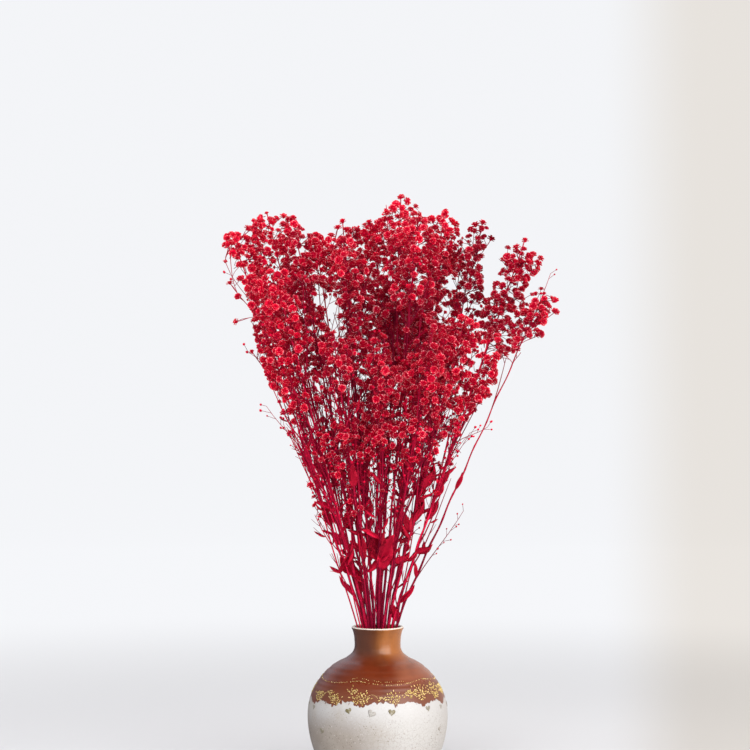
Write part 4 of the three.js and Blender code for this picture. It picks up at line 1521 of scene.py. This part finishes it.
PETAL = dyed_material("dyed_petal", deep=(0.31, 0.0, 0.015), bright=(0.92, 0.003, 0.056),
                      edge=(1.0, 0.66, 0.70), grain=600.0, rim_name="rim", bump=0.3,
                      Specular_IOR_Level=0.1, Emission_Strength=0.09)
STALK = dyed_material("dyed_stalk", deep=(0.125, 0.001, 0.015), bright=(0.68, 0.006, 0.048),
                      edge=(0.58, 0.009, 0.052), grain=700.0, rim_name="age", bump=0.5,
                      Specular_IOR_Level=0.08, Emission_Strength=0.0)
# Leaves also glow faintly in their own colour: a painted light for the light that comes through them
LEAF = dyed_material("dyed_leaf", deep=(0.26, 0.001, 0.014), bright=(0.62, 0.004, 0.038),
                     edge=(0.75, 0.02, 0.06), grain=800.0, rim_name="rim", bump=0.6,
                     Specular_IOR_Level=0.12, Emission_Strength=0.03)
print("dyed materials", PETAL.name, STALK.name, LEAF.name)

# %% Planting and dressing
PLANTING_SEED = 11


def planted(name, rows, kinds, spin, smooth, material):
    """Kinds of things at their places. Each row is place, facing, beside, size, kind and tint."""
    places, facing, beside, size, kind, tint = (np.array(column) for column in zip(*rows))
    source = points_mesh(name, places * MM, facing=facing, beside=beside, size=size, kind=kind,
                         tint=tint)
    return run_tree(name, source, PLANTING_TREE,
                    {"Kinds": kinds, "Spin": spin, "Seed": PLANTING_SEED, "Smooth": smooth,
                     "Material": material})


def dress(piece, node):
    """The fine piece stands for its solid: it is attached to the root body, and the solid is hidden.
    """
    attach(piece, "root")
    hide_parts(node)


print("seed", PLANTING_SEED, "turns the florets")

# %% The bunch, spray by spray
FLORET_KINDS = kinds_collection("floret", floret_kinds)
LEAF_SHAPES = kinds_collection("leaf", leaf_kinds)
STALK_SIDES = {"Stem Sides": 8, "Twig Sides": 5, "Pedicel Sides": 3}
triangles = {"stalks": [], "florets": [], "leaves": []}

for growth in GROWTHS.values():
    name = growth.spray.name
    lines = lines_mesh(name, growth.stalks)
    stalks = run_tree("stalks_" + name, lines, STALK_TREE, {**STALK_SIDES, "Material": STALK})
    floret_rows = [(place, facing, growth.aside(facing), size, kind, tint)
                   for place, facing, size, kind, tint in growth.florets]
    florets = planted("florets_" + name, floret_rows, FLORET_KINDS, 2 * math.pi, False, PETAL)
    leaf_rows = [(place, up - (up @ along) * along, along, length, kind, tint)
                 for place, along, up, length, kind, tint in growth.leaves]
    leaves = planted("leaves_" + name, leaf_rows, LEAF_SHAPES, 0.0, True, LEAF)
    for piece, counts in zip((stalks, florets, leaves), triangles.values()):
        dress(piece, "spray_" + name)
        counts.append(sum(len(face.vertices) - 2 for face in piece.data.polygons))

for kind, counts in triangles.items():
    print(len(counts), kind, "pieces,", sum(counts), "triangles, most in one", max(counts))

# %% [markdown]
# ## The vase
#
# The vase was thrown on a wheel, so its body is one profile turned about its axis. The profile is
# the model's own, with many more points, and the faint rings that the thrower's fingers left on
# the shoulder. A Screw modifier could turn it too, but the gold and the hearts have to find their
# places on the same profile, so it is kept as numbers.

# %% The vase's profile, in millimetres
VASE_HEIGHT, BELLY_RADIUS, BELLY_Z, BELLY_DROP, BELLY_RISE = 156, 70, 68, 85, 64
SHOULDER_RADIUS, NECK_RADIUS, RIM_RADIUS, FOOT_BEVEL, WALL, VASE_FLOOR = 42, 23, 26, 1.5, 3.2, 6
VASE_SIDES = 128
RING_DEPTH, RING_FADE = 0.26, 12
RINGS_FROM, RINGS_TO, SMOOTH_LIP = 88, 134, 150  # heights
shoulder_turn = math.acos(SHOULDER_RADIUS / BELLY_RADIUS)
shoulder_z = BELLY_Z + BELLY_RISE * math.sin(shoulder_turn)


def arc(radius, rise, start, end, count):
    """Points of the belly's ellipse between two turns."""
    return [(radius * math.cos(t), BELLY_Z + rise * math.sin(t))
            for t in np.linspace(start, end, count)]


def bezier(start, first, second, end, count):
    a, b, c, d = (np.array(p, dtype=float) for p in (start, first, second, end))
    return [tuple((1 - t) ** 3 * a + 3 * t * (1 - t) ** 2 * b + 3 * t * t * (1 - t) * c + t ** 3 * d)
            for t in np.linspace(0, 1, count)]


def outside_profile():
    foot_turn = -math.asin(BELLY_Z / BELLY_DROP)
    shoulder = (SHOULDER_RADIUS, shoulder_z)
    foot = BELLY_RADIUS * math.cos(foot_turn) - FOOT_BEVEL
    return ([(0, 0), (foot * 0.5, 0), (foot, 0)]
            + arc(BELLY_RADIUS, BELLY_DROP, foot_turn + 0.02, 0, 30)
            + arc(BELLY_RADIUS, BELLY_RISE, 0, shoulder_turn, 44)[1:]
            + bezier(shoulder, (33.5, shoulder_z + 4.6), (NECK_RADIUS, NECK_Z - 10),
                     (NECK_RADIUS, NECK_Z), 26)[1:]
            + bezier((NECK_RADIUS, NECK_Z), (NECK_RADIUS, NECK_Z + 8),
                     (RIM_RADIUS - 2, VASE_HEIGHT - 5), (RIM_RADIUS, VASE_HEIGHT - 2), 14)[1:])


def inside_profile():
    lip, throat = RIM_RADIUS - WALL, NECK_RADIUS - WALL
    belly, shoulder = BELLY_RADIUS - WALL, SHOULDER_RADIUS - 2
    wall_turn = math.acos(shoulder / belly)
    floor_turn = -math.asin((BELLY_Z - VASE_FLOOR) / (BELLY_DROP - WALL))
    top = VASE_HEIGHT - 2
    return (bezier((RIM_RADIUS, top), (RIM_RADIUS, top + 2.6), (lip, top + 2.6), (lip, top), 9)[1:]
            + bezier((lip, top), (throat, top - 6), (throat, NECK_Z + 6), (throat, NECK_Z - 2), 8)[1:]
            + bezier((throat, NECK_Z - 2), (throat, NECK_Z - 12), (31, shoulder_z + 0.5),
                     (shoulder, shoulder_z - WALL), 10)[1:]
            + arc(belly, BELLY_RISE - WALL, wall_turn, 0, 12)[1:]
            + arc(belly, BELLY_DROP - WALL, 0, floor_turn, 12)[1:] + [(0, VASE_FLOOR)])


OUTSIDE = np.array(outside_profile())


def thrown(profile):
    """The profile with the thrower's shallow rings on the shoulder, which fade up the neck."""
    ringed = []
    for radius, z in profile:
        share = np.clip((z - RINGS_FROM) / RING_FADE, 0, 1)
        share *= np.clip((RINGS_TO - z) / RING_FADE, 0.15, 1) * (z < SMOOTH_LIP)
        ring = share * math.sin(z * 1.2 + 0.6 * math.sin(z * 0.37))
        ringed.append((radius + RING_DEPTH * ring, z))
    return ringed


def scaled(profile):
    return [(radius * MM, z * MM) for radius, z in profile]


vase_profile = scaled(thrown(OUTSIDE) + inside_profile())
print(len(vase_profile), "points in the vase's profile")

# %% [markdown]
# ## Two glazes
#
# The upper half was dipped in a glossy brown glaze and the lower half in a pale one. The brown ran
# thin and orange at the neck, but the orange is painted on the neck's right only and its left is
# painted dark: a painted light and shade from the side. On the shoulder it lies red-brown, with a
# painted sheen at the upper right, and it ends in thirteen small lobes with a ragged rim. At the lip
# it ran off, and the pale body shows. The pale glaze is white under the brown, and sandy lower down
# at the left, where it is also painted darker as a shade. It is finely crazed and speckled with
# iron. An image wrapped round the vase would have a seam. Here the edge is worked out from the angle
# about the axis, and the colours from each spot's place, so they go all the way round.

# %% The brown glaze
NECK_PAINTED_SHADE, NECK_ORANGE = (0.085, 0.030, 0.015), (0.27, 0.088, 0.017)
SHOULDER_RED, SHOULDER_PAINTED_SHEEN = (0.115, 0.020, 0.005), (0.195, 0.053, 0.021)
BAND_BROWN, STREAK_BROWN = (0.130, 0.037, 0.016), (0.05, 0.010, 0.004)
NECK_BLEND, BAND_BLEND, SHOULDER_SHEEN_BLEND = (0.121, 0.135), (0.106, 0.090), (0.100, 0.112)  # heights
NECK_LIT_SIDE, SHOULDER_SHEEN_SIDE = (0.006, 0.026), (0.024, 0.044)  # from the axis to the right, where painted light and sheen come in


def brown_glaze(tree, place, parts):
    """Orange at the neck's right and dark at its left, a painted light and shade; red-brown on the
    shoulder with a painted sheen at its upper right; soft streaks.
    """
    z = parts["Z"]
    upright = put(tree, "ShaderNodeMapping", {"Vector": place, "Scale": (1, 1, 0.25)})
    streaks = ramp(tree, noise(tree, upright.outputs[0], 55, 5), 0.45, 0.8)
    across = calculate(tree, "MULTIPLY_ADD", noise(tree, place, 24, 1), 0.03, parts["X"])
    # The neck is dark at its left and orange at its right: a painted shade and light from the side
    neck = mixed(tree, ramp(tree, across, *NECK_LIT_SIDE), NECK_PAINTED_SHADE, NECK_ORANGE)
    # The shoulder's upper right is painted lighter: a painted sheen
    light = calculate(tree, "MULTIPLY", ramp(tree, across, *SHOULDER_SHEEN_SIDE), ramp(tree, z, *SHOULDER_SHEEN_BLEND))
    shoulder = mixed(tree, light, SHOULDER_RED, SHOULDER_PAINTED_SHEEN)
    colour = mixed(tree, ramp(tree, z, *NECK_BLEND), shoulder, neck)
    colour = mixed(tree, ramp(tree, z, *BAND_BLEND), colour, BAND_BROWN)
    return mixed(tree, calculate(tree, "MULTIPLY", streaks, 0.5), colour, STREAK_BROWN)


print("brown glaze, orange over", NECK_BLEND[0], "m")

# %% The pale glaze
# The sandy colour and its clouds darken the lower left: partly sandy glaze, partly a painted shade
WHITE_TOP, CREAM_SIDE, SANDY_SHADED_SIDE = (0.42, 0.412, 0.408), (0.425, 0.415, 0.40), (0.245, 0.205, 0.172)
CLOUD, SPECK, SAND = (0.32, 0.285, 0.245), (0.13, 0.09, 0.06), (0.28, 0.245, 0.21)
WHITE_GRAIN, CRAZE_LINE = (0.52, 0.50, 0.47), (0.20, 0.165, 0.13)
LOW_BLEND, SANDY_SHADE_BLEND = (0.090, 0.050), (0.035, -0.045)  # downwards, and to the left


def pale_glaze(tree, place, parts):
    """White near the edge; sandy and darker below at the left, partly a painted shade; iron specks and
    fine crazing.
    """
    low = ramp(tree, parts["Z"], *LOW_BLEND)
    # Sandy and darker towards the left: partly sandy glaze, partly a painted shade
    sandy_shaded_side = ramp(tree, parts["X"], *SANDY_SHADE_BLEND)
    colour = mixed(tree, low, WHITE_TOP, mixed(tree, sandy_shaded_side, CREAM_SIDE, SANDY_SHADED_SIDE))
    clouds = ramp(tree, noise(tree, place, 28, 4), 0.45, 0.75)
    colour = mixed(tree, calculate(tree, "MULTIPLY", clouds, sandy_shaded_side), colour, CLOUD)
    specks = put(tree, "ShaderNodeTexVoronoi", {"Vector": place, "Scale": 420.0})
    dots = calculate(tree, "MULTIPLY", ramp(tree, specks.outputs["Distance"], 0.26, 0.14),
                     ramp(tree, noise(tree, place, 60, 2), 0.44, 0.56))
    dots = calculate(tree, "MULTIPLY", dots, calculate(tree, "MULTIPLY_ADD", low, 0.7, 0.2))
    colour = mixed(tree, dots, colour, SPECK)
    grain = noise(tree, place, 700, 2)
    sandy = calculate(tree, "MULTIPLY", ramp(tree, grain, 0.5, 0.75), 0.6)
    colour = mixed(tree, calculate(tree, "MULTIPLY", sandy, low), colour, SAND)
    colour = mixed(tree, ramp(tree, grain, 0.34, 0.24), colour, WHITE_GRAIN)
    cells = put(tree, "ShaderNodeTexVoronoi", {"Vector": place, "Scale": 190.0},
                feature="DISTANCE_TO_EDGE")
    lines = ramp(tree, cells.outputs["Distance"], 0.035, 0.0)
    lines = calculate(tree, "MULTIPLY", lines, calculate(tree, "MULTIPLY_ADD", low, 0.35, 0.08))
    return mixed(tree, lines, colour, CRAZE_LINE)


print("pale glaze, sandy under", LOW_BLEND[1], "m")

# %% The edge between the glazes, and the whole material
EDGE_Z = 0.0804  # the lowest points of the lobes, in metres; the rest rises from here
LOBES = 13
LOBE_TURN = math.radians(15 - 90)  # one lobe hangs this far round from the front
LOBE_RISE, NICK_RISE, WANDER_RISE = 0.0045, 0.0044, 0.005
SIDE_SAG = 0.75  # how the edge hangs lower at the sides, for each square metre
EDGE_SOFT = 0.00025
LIP_BLEND, BARE_LIP = (0.1546, 0.1552), (0.62, 0.56, 0.49)


def jagged_edge(tree, place, parts):
    """The height of the brown glaze's lower edge at each angle about the axis."""
    angle = calculate(tree, "ARCTAN2", parts["Y"], parts["X"])
    swell = calculate(tree, "MULTIPLY_ADD", angle, LOBES / 2, -LOBE_TURN * LOBES / 2)
    swell = calculate(tree, "ABSOLUTE", calculate(tree, "SINE", swell))
    nicks = put(tree, "ShaderNodeTexVoronoi", {"Vector": place, "Scale": 270.0})
    sides = calculate(tree, "MULTIPLY", parts["X"], parts["X"])
    height = calculate(tree, "MULTIPLY_ADD", sides, -SIDE_SAG, EDGE_Z)
    height = calculate(tree, "MULTIPLY_ADD", swell, LOBE_RISE, height)
    height = calculate(tree, "MULTIPLY_ADD", nicks.outputs["Distance"], NICK_RISE, height)
    return calculate(tree, "MULTIPLY_ADD", noise(tree, place, 70, 4), WANDER_RISE, height)


def glaze_material():
    """Brown over pale. The brown is the glossier and lies a little proud, on orange-peel skin."""
    material, tree, shader = new_material("glazed_stoneware", IOR=1.5)
    place = object_place(tree)
    parts = put(tree, "ShaderNodeSeparateXYZ", {0: place}).outputs
    over = calculate(tree, "SUBTRACT", parts["Z"], jagged_edge(tree, place, parts))
    brown = ramp(tree, over, -EDGE_SOFT, EDGE_SOFT)
    colour = mixed(tree, brown, pale_glaze(tree, place, parts), brown_glaze(tree, place, parts))
    colour = mixed(tree, ramp(tree, parts["Z"], *LIP_BLEND), colour, BARE_LIP)
    tree.links.new(colour, shader.inputs["Base Color"])
    peel = noise(tree, place, 260, 2)
    rough = calculate(tree, "MULTIPLY_ADD", brown, -0.24, 0.44)
    rough = calculate(tree, "MULTIPLY_ADD", ramp(tree, parts["Z"], 0.110, 0.098), 0.12, rough)
    rough = calculate(tree, "MULTIPLY_ADD", peel, 0.08, rough)
    tree.links.new(rough, shader.inputs["Roughness"])
    skin = calculate(tree, "MULTIPLY", peel, 0.15)
    height = calculate(tree, "MULTIPLY_ADD", brown, 1.0, skin)
    relief = put(tree, "ShaderNodeBump", {"Height": height, "Strength": 0.5, "Distance": 0.0004})
    tree.links.new(relief.outputs[0], shader.inputs["Normal"])
    return material


vase = mesh_object("vase_body", *revolve(vase_profile, VASE_SIDES), glaze_material())
dress(vase, "vase")
print("vase of", len(vase.data.polygons), "faces")

# %% [markdown]
# ## Raised gold lace
#
# Over the edge lies a band of gold lace, as such vases often have: clusters of berries set close in
# rows, with leaf-shaped dashes that spread round their tops in two or three loose rows, thin curved
# stalks between, and a swag of separate dots above. A bump in the glaze would look flat from the
# side, so each dot is a real dome of gold. The rule sets the domes' places and lengths, and the
# planting tree puts them there.

# %% Places on the vase's surface
def on_vase(angle, z):
    """The point, the outward normal and the direction up the surface, at an angle and height."""
    wall = OUTSIDE[3:]  # without the foot's flat face
    radius = np.interp(z, wall[:, 1], wall[:, 0])
    slope = (np.interp(z + 0.5, wall[:, 1], wall[:, 0]) - radius) / 0.5
    out = np.array([math.cos(angle), math.sin(angle), 0])
    upward = unit(np.array([out[0] * slope, out[1] * slope, 1]))
    round_way = np.array([-math.sin(angle), math.cos(angle), 0])
    place = np.array([out[0] * radius, out[1] * radius, z])
    return place, np.cross(round_way, upward), upward, round_way


FRONT = -math.pi / 2
print("radius under the lace", round(float(np.hypot(*on_vase(FRONT, 92)[0][:2])), 1), "mm")

# %% The rule that sets berries, dashes and stalks
DOT_SIDES = 6
dot_vertices, dot_faces = revolve([(0, -0.1), (0.5, -0.1), (0.40, 0.2), (0, 0.34)], DOT_SIDES)
dot_kind = {"vertices": dot_vertices, "faces": dot_faces, "rim": [0.0] * len(dot_vertices)}
LACE_RADIUS = 67.5  # the vase's radius under the lace, which turns a length into an angle
BERRY_GAP, BERRY_STRAY, BERRY_SIZES = 2.0, 0.36, (1.15, 1.8)
LACE_WIDEST = 1.35  # how far round a cluster's top the dashes stand, in radians
DASH_SIZES, DASH_STRETCH = (0.9, 1.2), (1.9, 2.8)
STALK_STEP = 0.45


class Lace:
    """Dots and dashes of gold, each with its place, size and direction on the vase."""

    def __init__(self):
        self.rows = []
        self.random = np.random.default_rng(31)

    def dot(self, angle, z, size, stretch=1.0, turn=0.0):
        place, normal, upward, round_way = on_vase(angle, z)
        along = upward * math.cos(turn) + round_way * math.sin(turn)
        scale = (size * stretch, size, size)
        self.rows.append((place, normal, along, scale, 0, self.random.random()))

    def bunch(self, angle, z, across, up):
        """Berries set close together in rows, like a small cluster of grapes."""
        rows, columns = int(up / BERRY_GAP) + 1, int(across / BERRY_GAP) + 1
        for row in range(-rows, rows + 1):
            for column in range(-columns, columns + 1):
                aside = (column + 0.5 * (row % 2)) * BERRY_GAP + BERRY_STRAY * self.random.normal()
                rise = row * BERRY_GAP * 0.87 + BERRY_STRAY * self.random.normal()
                if math.hypot(aside / across, rise / up) < self.random.uniform(0.85, 1.15):
                    size = self.random.uniform(*BERRY_SIZES)
                    self.dot(angle + aside / LACE_RADIUS, z + rise, size)

    def spread(self, angle, z, across, up, leaves):
        """Leaf-shaped dashes that stand round the top of a bunch, in two or three loose rows."""
        rows, row_gap = (3, 0.6) if leaves > 10 else (2, 0.42)
        for row in range(rows):
            for turn in np.linspace(-LACE_WIDEST, LACE_WIDEST, leaves - row):
                turn += 0.1 * self.random.normal()
                out = 1 + row_gap * row + 0.14 * self.random.normal()
                self.dot(angle + (across * out + 1.0) * math.sin(turn) / LACE_RADIUS,
                         z + (up * out + 1.6) * math.cos(turn),
                         self.random.uniform(*DASH_SIZES), self.random.uniform(*DASH_STRETCH),
                         0.8 * turn + 0.25 * self.random.normal())

    def stalk(self, angle, z, turn, length, bend):
        """A thin curved line of small dots that touch."""
        steps = int(length / STALK_STEP)
        for _ in range(steps):
            turn += bend / steps
            angle += STALK_STEP * math.sin(turn) / LACE_RADIUS
            z += STALK_STEP * math.cos(turn)
            self.dot(angle, z, 0.5, 1.5, turn)


print("a berry of", len(dot_faces), "faces every", BERRY_GAP, "mm")

# %% Clusters and swags round the vase
# Turn from the front, height, half width and half height in millimetres, and leaves round the top
BUNCHES = [(-61, 91.3, 7.4, 4.4, 2), (-47, 95.8, 3.0, 2.6, 2), (-39, 90.6, 6.4, 4.6, 2),
           (-24, 98, 3.4, 3.4, 3), (-15, 91.8, 8.4, 5.0, 5), (15, 91.4, 6.2, 4.2, 8),
           (30, 94.5, 3.2, 2.2, 7), (41, 93.0, 6.6, 4.0, 13), (62, 93.2, 6.0, 4.2, 11)]
BUNCHES += [(turn, 92.5 + 2 * even(turn, 2), 5.6 + 2.6 * even(turn, 1), 3.2 + 1.8 * even(turn, 0),
             5 + int(8 * even(turn, 2))) for turn in range(80, 290, 21)]
lace = Lace()
for order, (turn, height, across, up, leaves) in enumerate(BUNCHES):
    middle = FRONT + math.radians(turn)
    lace.bunch(middle, height, across, up)
    lace.spread(middle, height, across, up, leaves)
    if order % 4 == 0:
        lace.stalk(middle + 0.10, height + 2, 0.7, 13, 1.8)
        lace.spread(middle + 0.33, height - 1, 2.0, 1.0, 5)
SWAGS, SWAG_STEPS = 5, 166
SWAG_Z, SWAG_SAG = 108, 3.5
for step in range(SWAG_STEPS):
    angle = FRONT + 2 * math.pi * step / SWAG_STEPS
    z = SWAG_Z - SWAG_SAG * abs(math.sin(SWAGS * (angle - FRONT) / 2 + 0.9)) + 0.4 * even(step, 1)
    if even(step, 2) > 0.15:
        lace.dot(angle, z, 0.8 + 0.65 * even(step, 0))
    if math.sin(3 * angle) > 0 and even(step, 0) > 0.3:
        lace.dot(angle + 0.018, z + 2.2 + 0.9 * even(step, 2), 0.7, 1.4, 0.8)

print(len(lace.rows), "dots and dashes")

# %% The gold, and the lace as one piece
DULL_GOLD, BRIGHT_GOLD = (0.40, 0.27, 0.04), (0.98, 0.82, 0.38)


def gold_material():
    """Fired gold that is bright in places and worn dull in others."""
    material, tree, shader = new_material("fired_gold", Metallic=0.6)
    worn = noise(tree, object_place(tree), 900, 2)
    colour = mixed(tree, ramp(tree, worn, 0.35, 0.65), DULL_GOLD, BRIGHT_GOLD)
    tree.links.new(colour, shader.inputs["Base Color"])
    tree.links.new(calculate(tree, "MULTIPLY_ADD", worn, 0.35, 0.18), shader.inputs["Roughness"])
    return material


def raised(name, rows, kind_name, kind, material):
    """Small raised things on the vase, as one piece."""
    piece = planted(name, rows, kinds_collection(kind_name, [kind]), 0.0, True, material)
    dress(piece, "vase")
    return piece


gold_lace = raised("gold_lace", lace.rows, "dot", dot_kind, gold_material())
print("gold lace of", len(gold_lace.data.polygons), "faces")

# %% [markdown]
# ## Heart-shaped marks
#
# Under the lace runs a row of small hearts in thin olive or grey slip, some of them almost worn
# away, and a few fainter marks stand lower down. Painted in the glaze's own material they would
# blur, so each is a low domed heart that sits in the glaze.

# %% The hearts
HEART_POINTS = 22
# Turn about the axis from the front, height, width in millimetres, tilt, and paleness from 0 to 1
HEARTS = [(-66, 79.5, 5.5, 0.1, 0.5), (-24.5, 80.7, 6.6, -0.3, 0.05), (-5, 79, 8.5, 0.5, 0.85),
          (11.5, 80, 7.2, 0.15, 0.2), (46, 81, 6.6, -0.1, 0.45), (65, 80, 5.8, 0.2, 0.75),
          (88, 79, 6.6, -0.2, 0.1), (110, 80, 7, 0.2, 0.4), (128, 80, 6, 0.0, 0.8),
          (150, 79, 6.8, -0.3, 0.15), (171, 80, 6.2, 0.2, 0.6), (193, 78, 7.4, 0.1, 0.3),
          (214, 80, 6, -0.2, 0.7), (232, 79, 6.6, 0.3, 0.1), (255, 80, 6.4, 0.0, 0.5),
          (276, 80, 6, 0.2, 0.3), (-52, 58, 6.5, 0.4, 0.35), (61, 59, 6.0, -0.4, 0.6),
          (160, 58, 5.5, 0.3, 0.8), (235, 57, 5.5, 0.0, 0.85)]


def heart_outline():
    """A heart one unit wide, with its point down."""
    spots = []
    for t in np.arange(HEART_POINTS) * 2 * math.pi / HEART_POINTS:
        up = 13 * math.cos(t) - 5 * math.cos(2 * t) - 2 * math.cos(3 * t) - math.cos(4 * t)
        spots.append((up / 32, -16 * math.sin(t) ** 3 / 32))
    return spots


outline = heart_outline()
heart_vertices = ([(0.05, 0, 0.05)] + [(x * 0.6, y * 0.6, 0.045) for x, y in outline]
                  + [(x, y, 0.0) for x, y in outline] + [(x, y, -0.05) for x, y in outline]
                  + [(0.05, 0, -0.05)])
heart_faces = []
for i in range(HEART_POINTS):
    j = (i + 1) % HEART_POINTS
    heart_faces.append((0, 1 + i, 1 + j))
    for low in (1, 1 + HEART_POINTS):
        heart_faces.append((low + i, low + HEART_POINTS + i, low + HEART_POINTS + j, low + j))
    heart_faces.append((1 + 2 * HEART_POINTS + i, 1 + 3 * HEART_POINTS, 1 + 2 * HEART_POINTS + j))
heart_kind = {"vertices": heart_vertices, "faces": heart_faces, "rim": [0.0] * len(heart_vertices)}
heart_rows = []
for turn, height, width, tilt, paleness in HEARTS:
    place, normal, upward, round_way = on_vase(FRONT + math.radians(turn), height)
    along = upward * math.cos(tilt) + round_way * math.sin(tilt)
    heart_rows.append((place, normal, along, (width, width, width), 0, paleness))
print(len(heart_faces), "faces in one heart")

# %% The slip, and the hearts as one piece
OLIVE_SLIP, GREY_SLIP, GLAZE_UNDER = (0.14, 0.115, 0.05), (0.30, 0.285, 0.265), (0.42, 0.395, 0.365)


def slip_material():
    """Olive to grey slip, by each heart's paleness, worn through to the glaze in patches."""
    material, tree, shader = new_material("thin_slip", Coat_Weight=0.3)
    patchy = noise(tree, object_place(tree), 350, 3)
    tone = mixed(tree, ramp(tree, stored_value(tree, "tint"), 0.0, 1.0), OLIVE_SLIP, GREY_SLIP)
    worn_through = calculate(tree, "MULTIPLY", ramp(tree, patchy, 0.5, 0.75), 0.8)
    tree.links.new(mixed(tree, worn_through, tone, GLAZE_UNDER), shader.inputs["Base Color"])
    tree.links.new(calculate(tree, "MULTIPLY_ADD", patchy, 0.3, 0.25), shader.inputs["Roughness"])
    return material


hearts = raised("heart_marks", heart_rows, "heart", heart_kind, slip_material())
print(len(heart_rows), "hearts of", len(hearts.data.polygons), "faces in all")
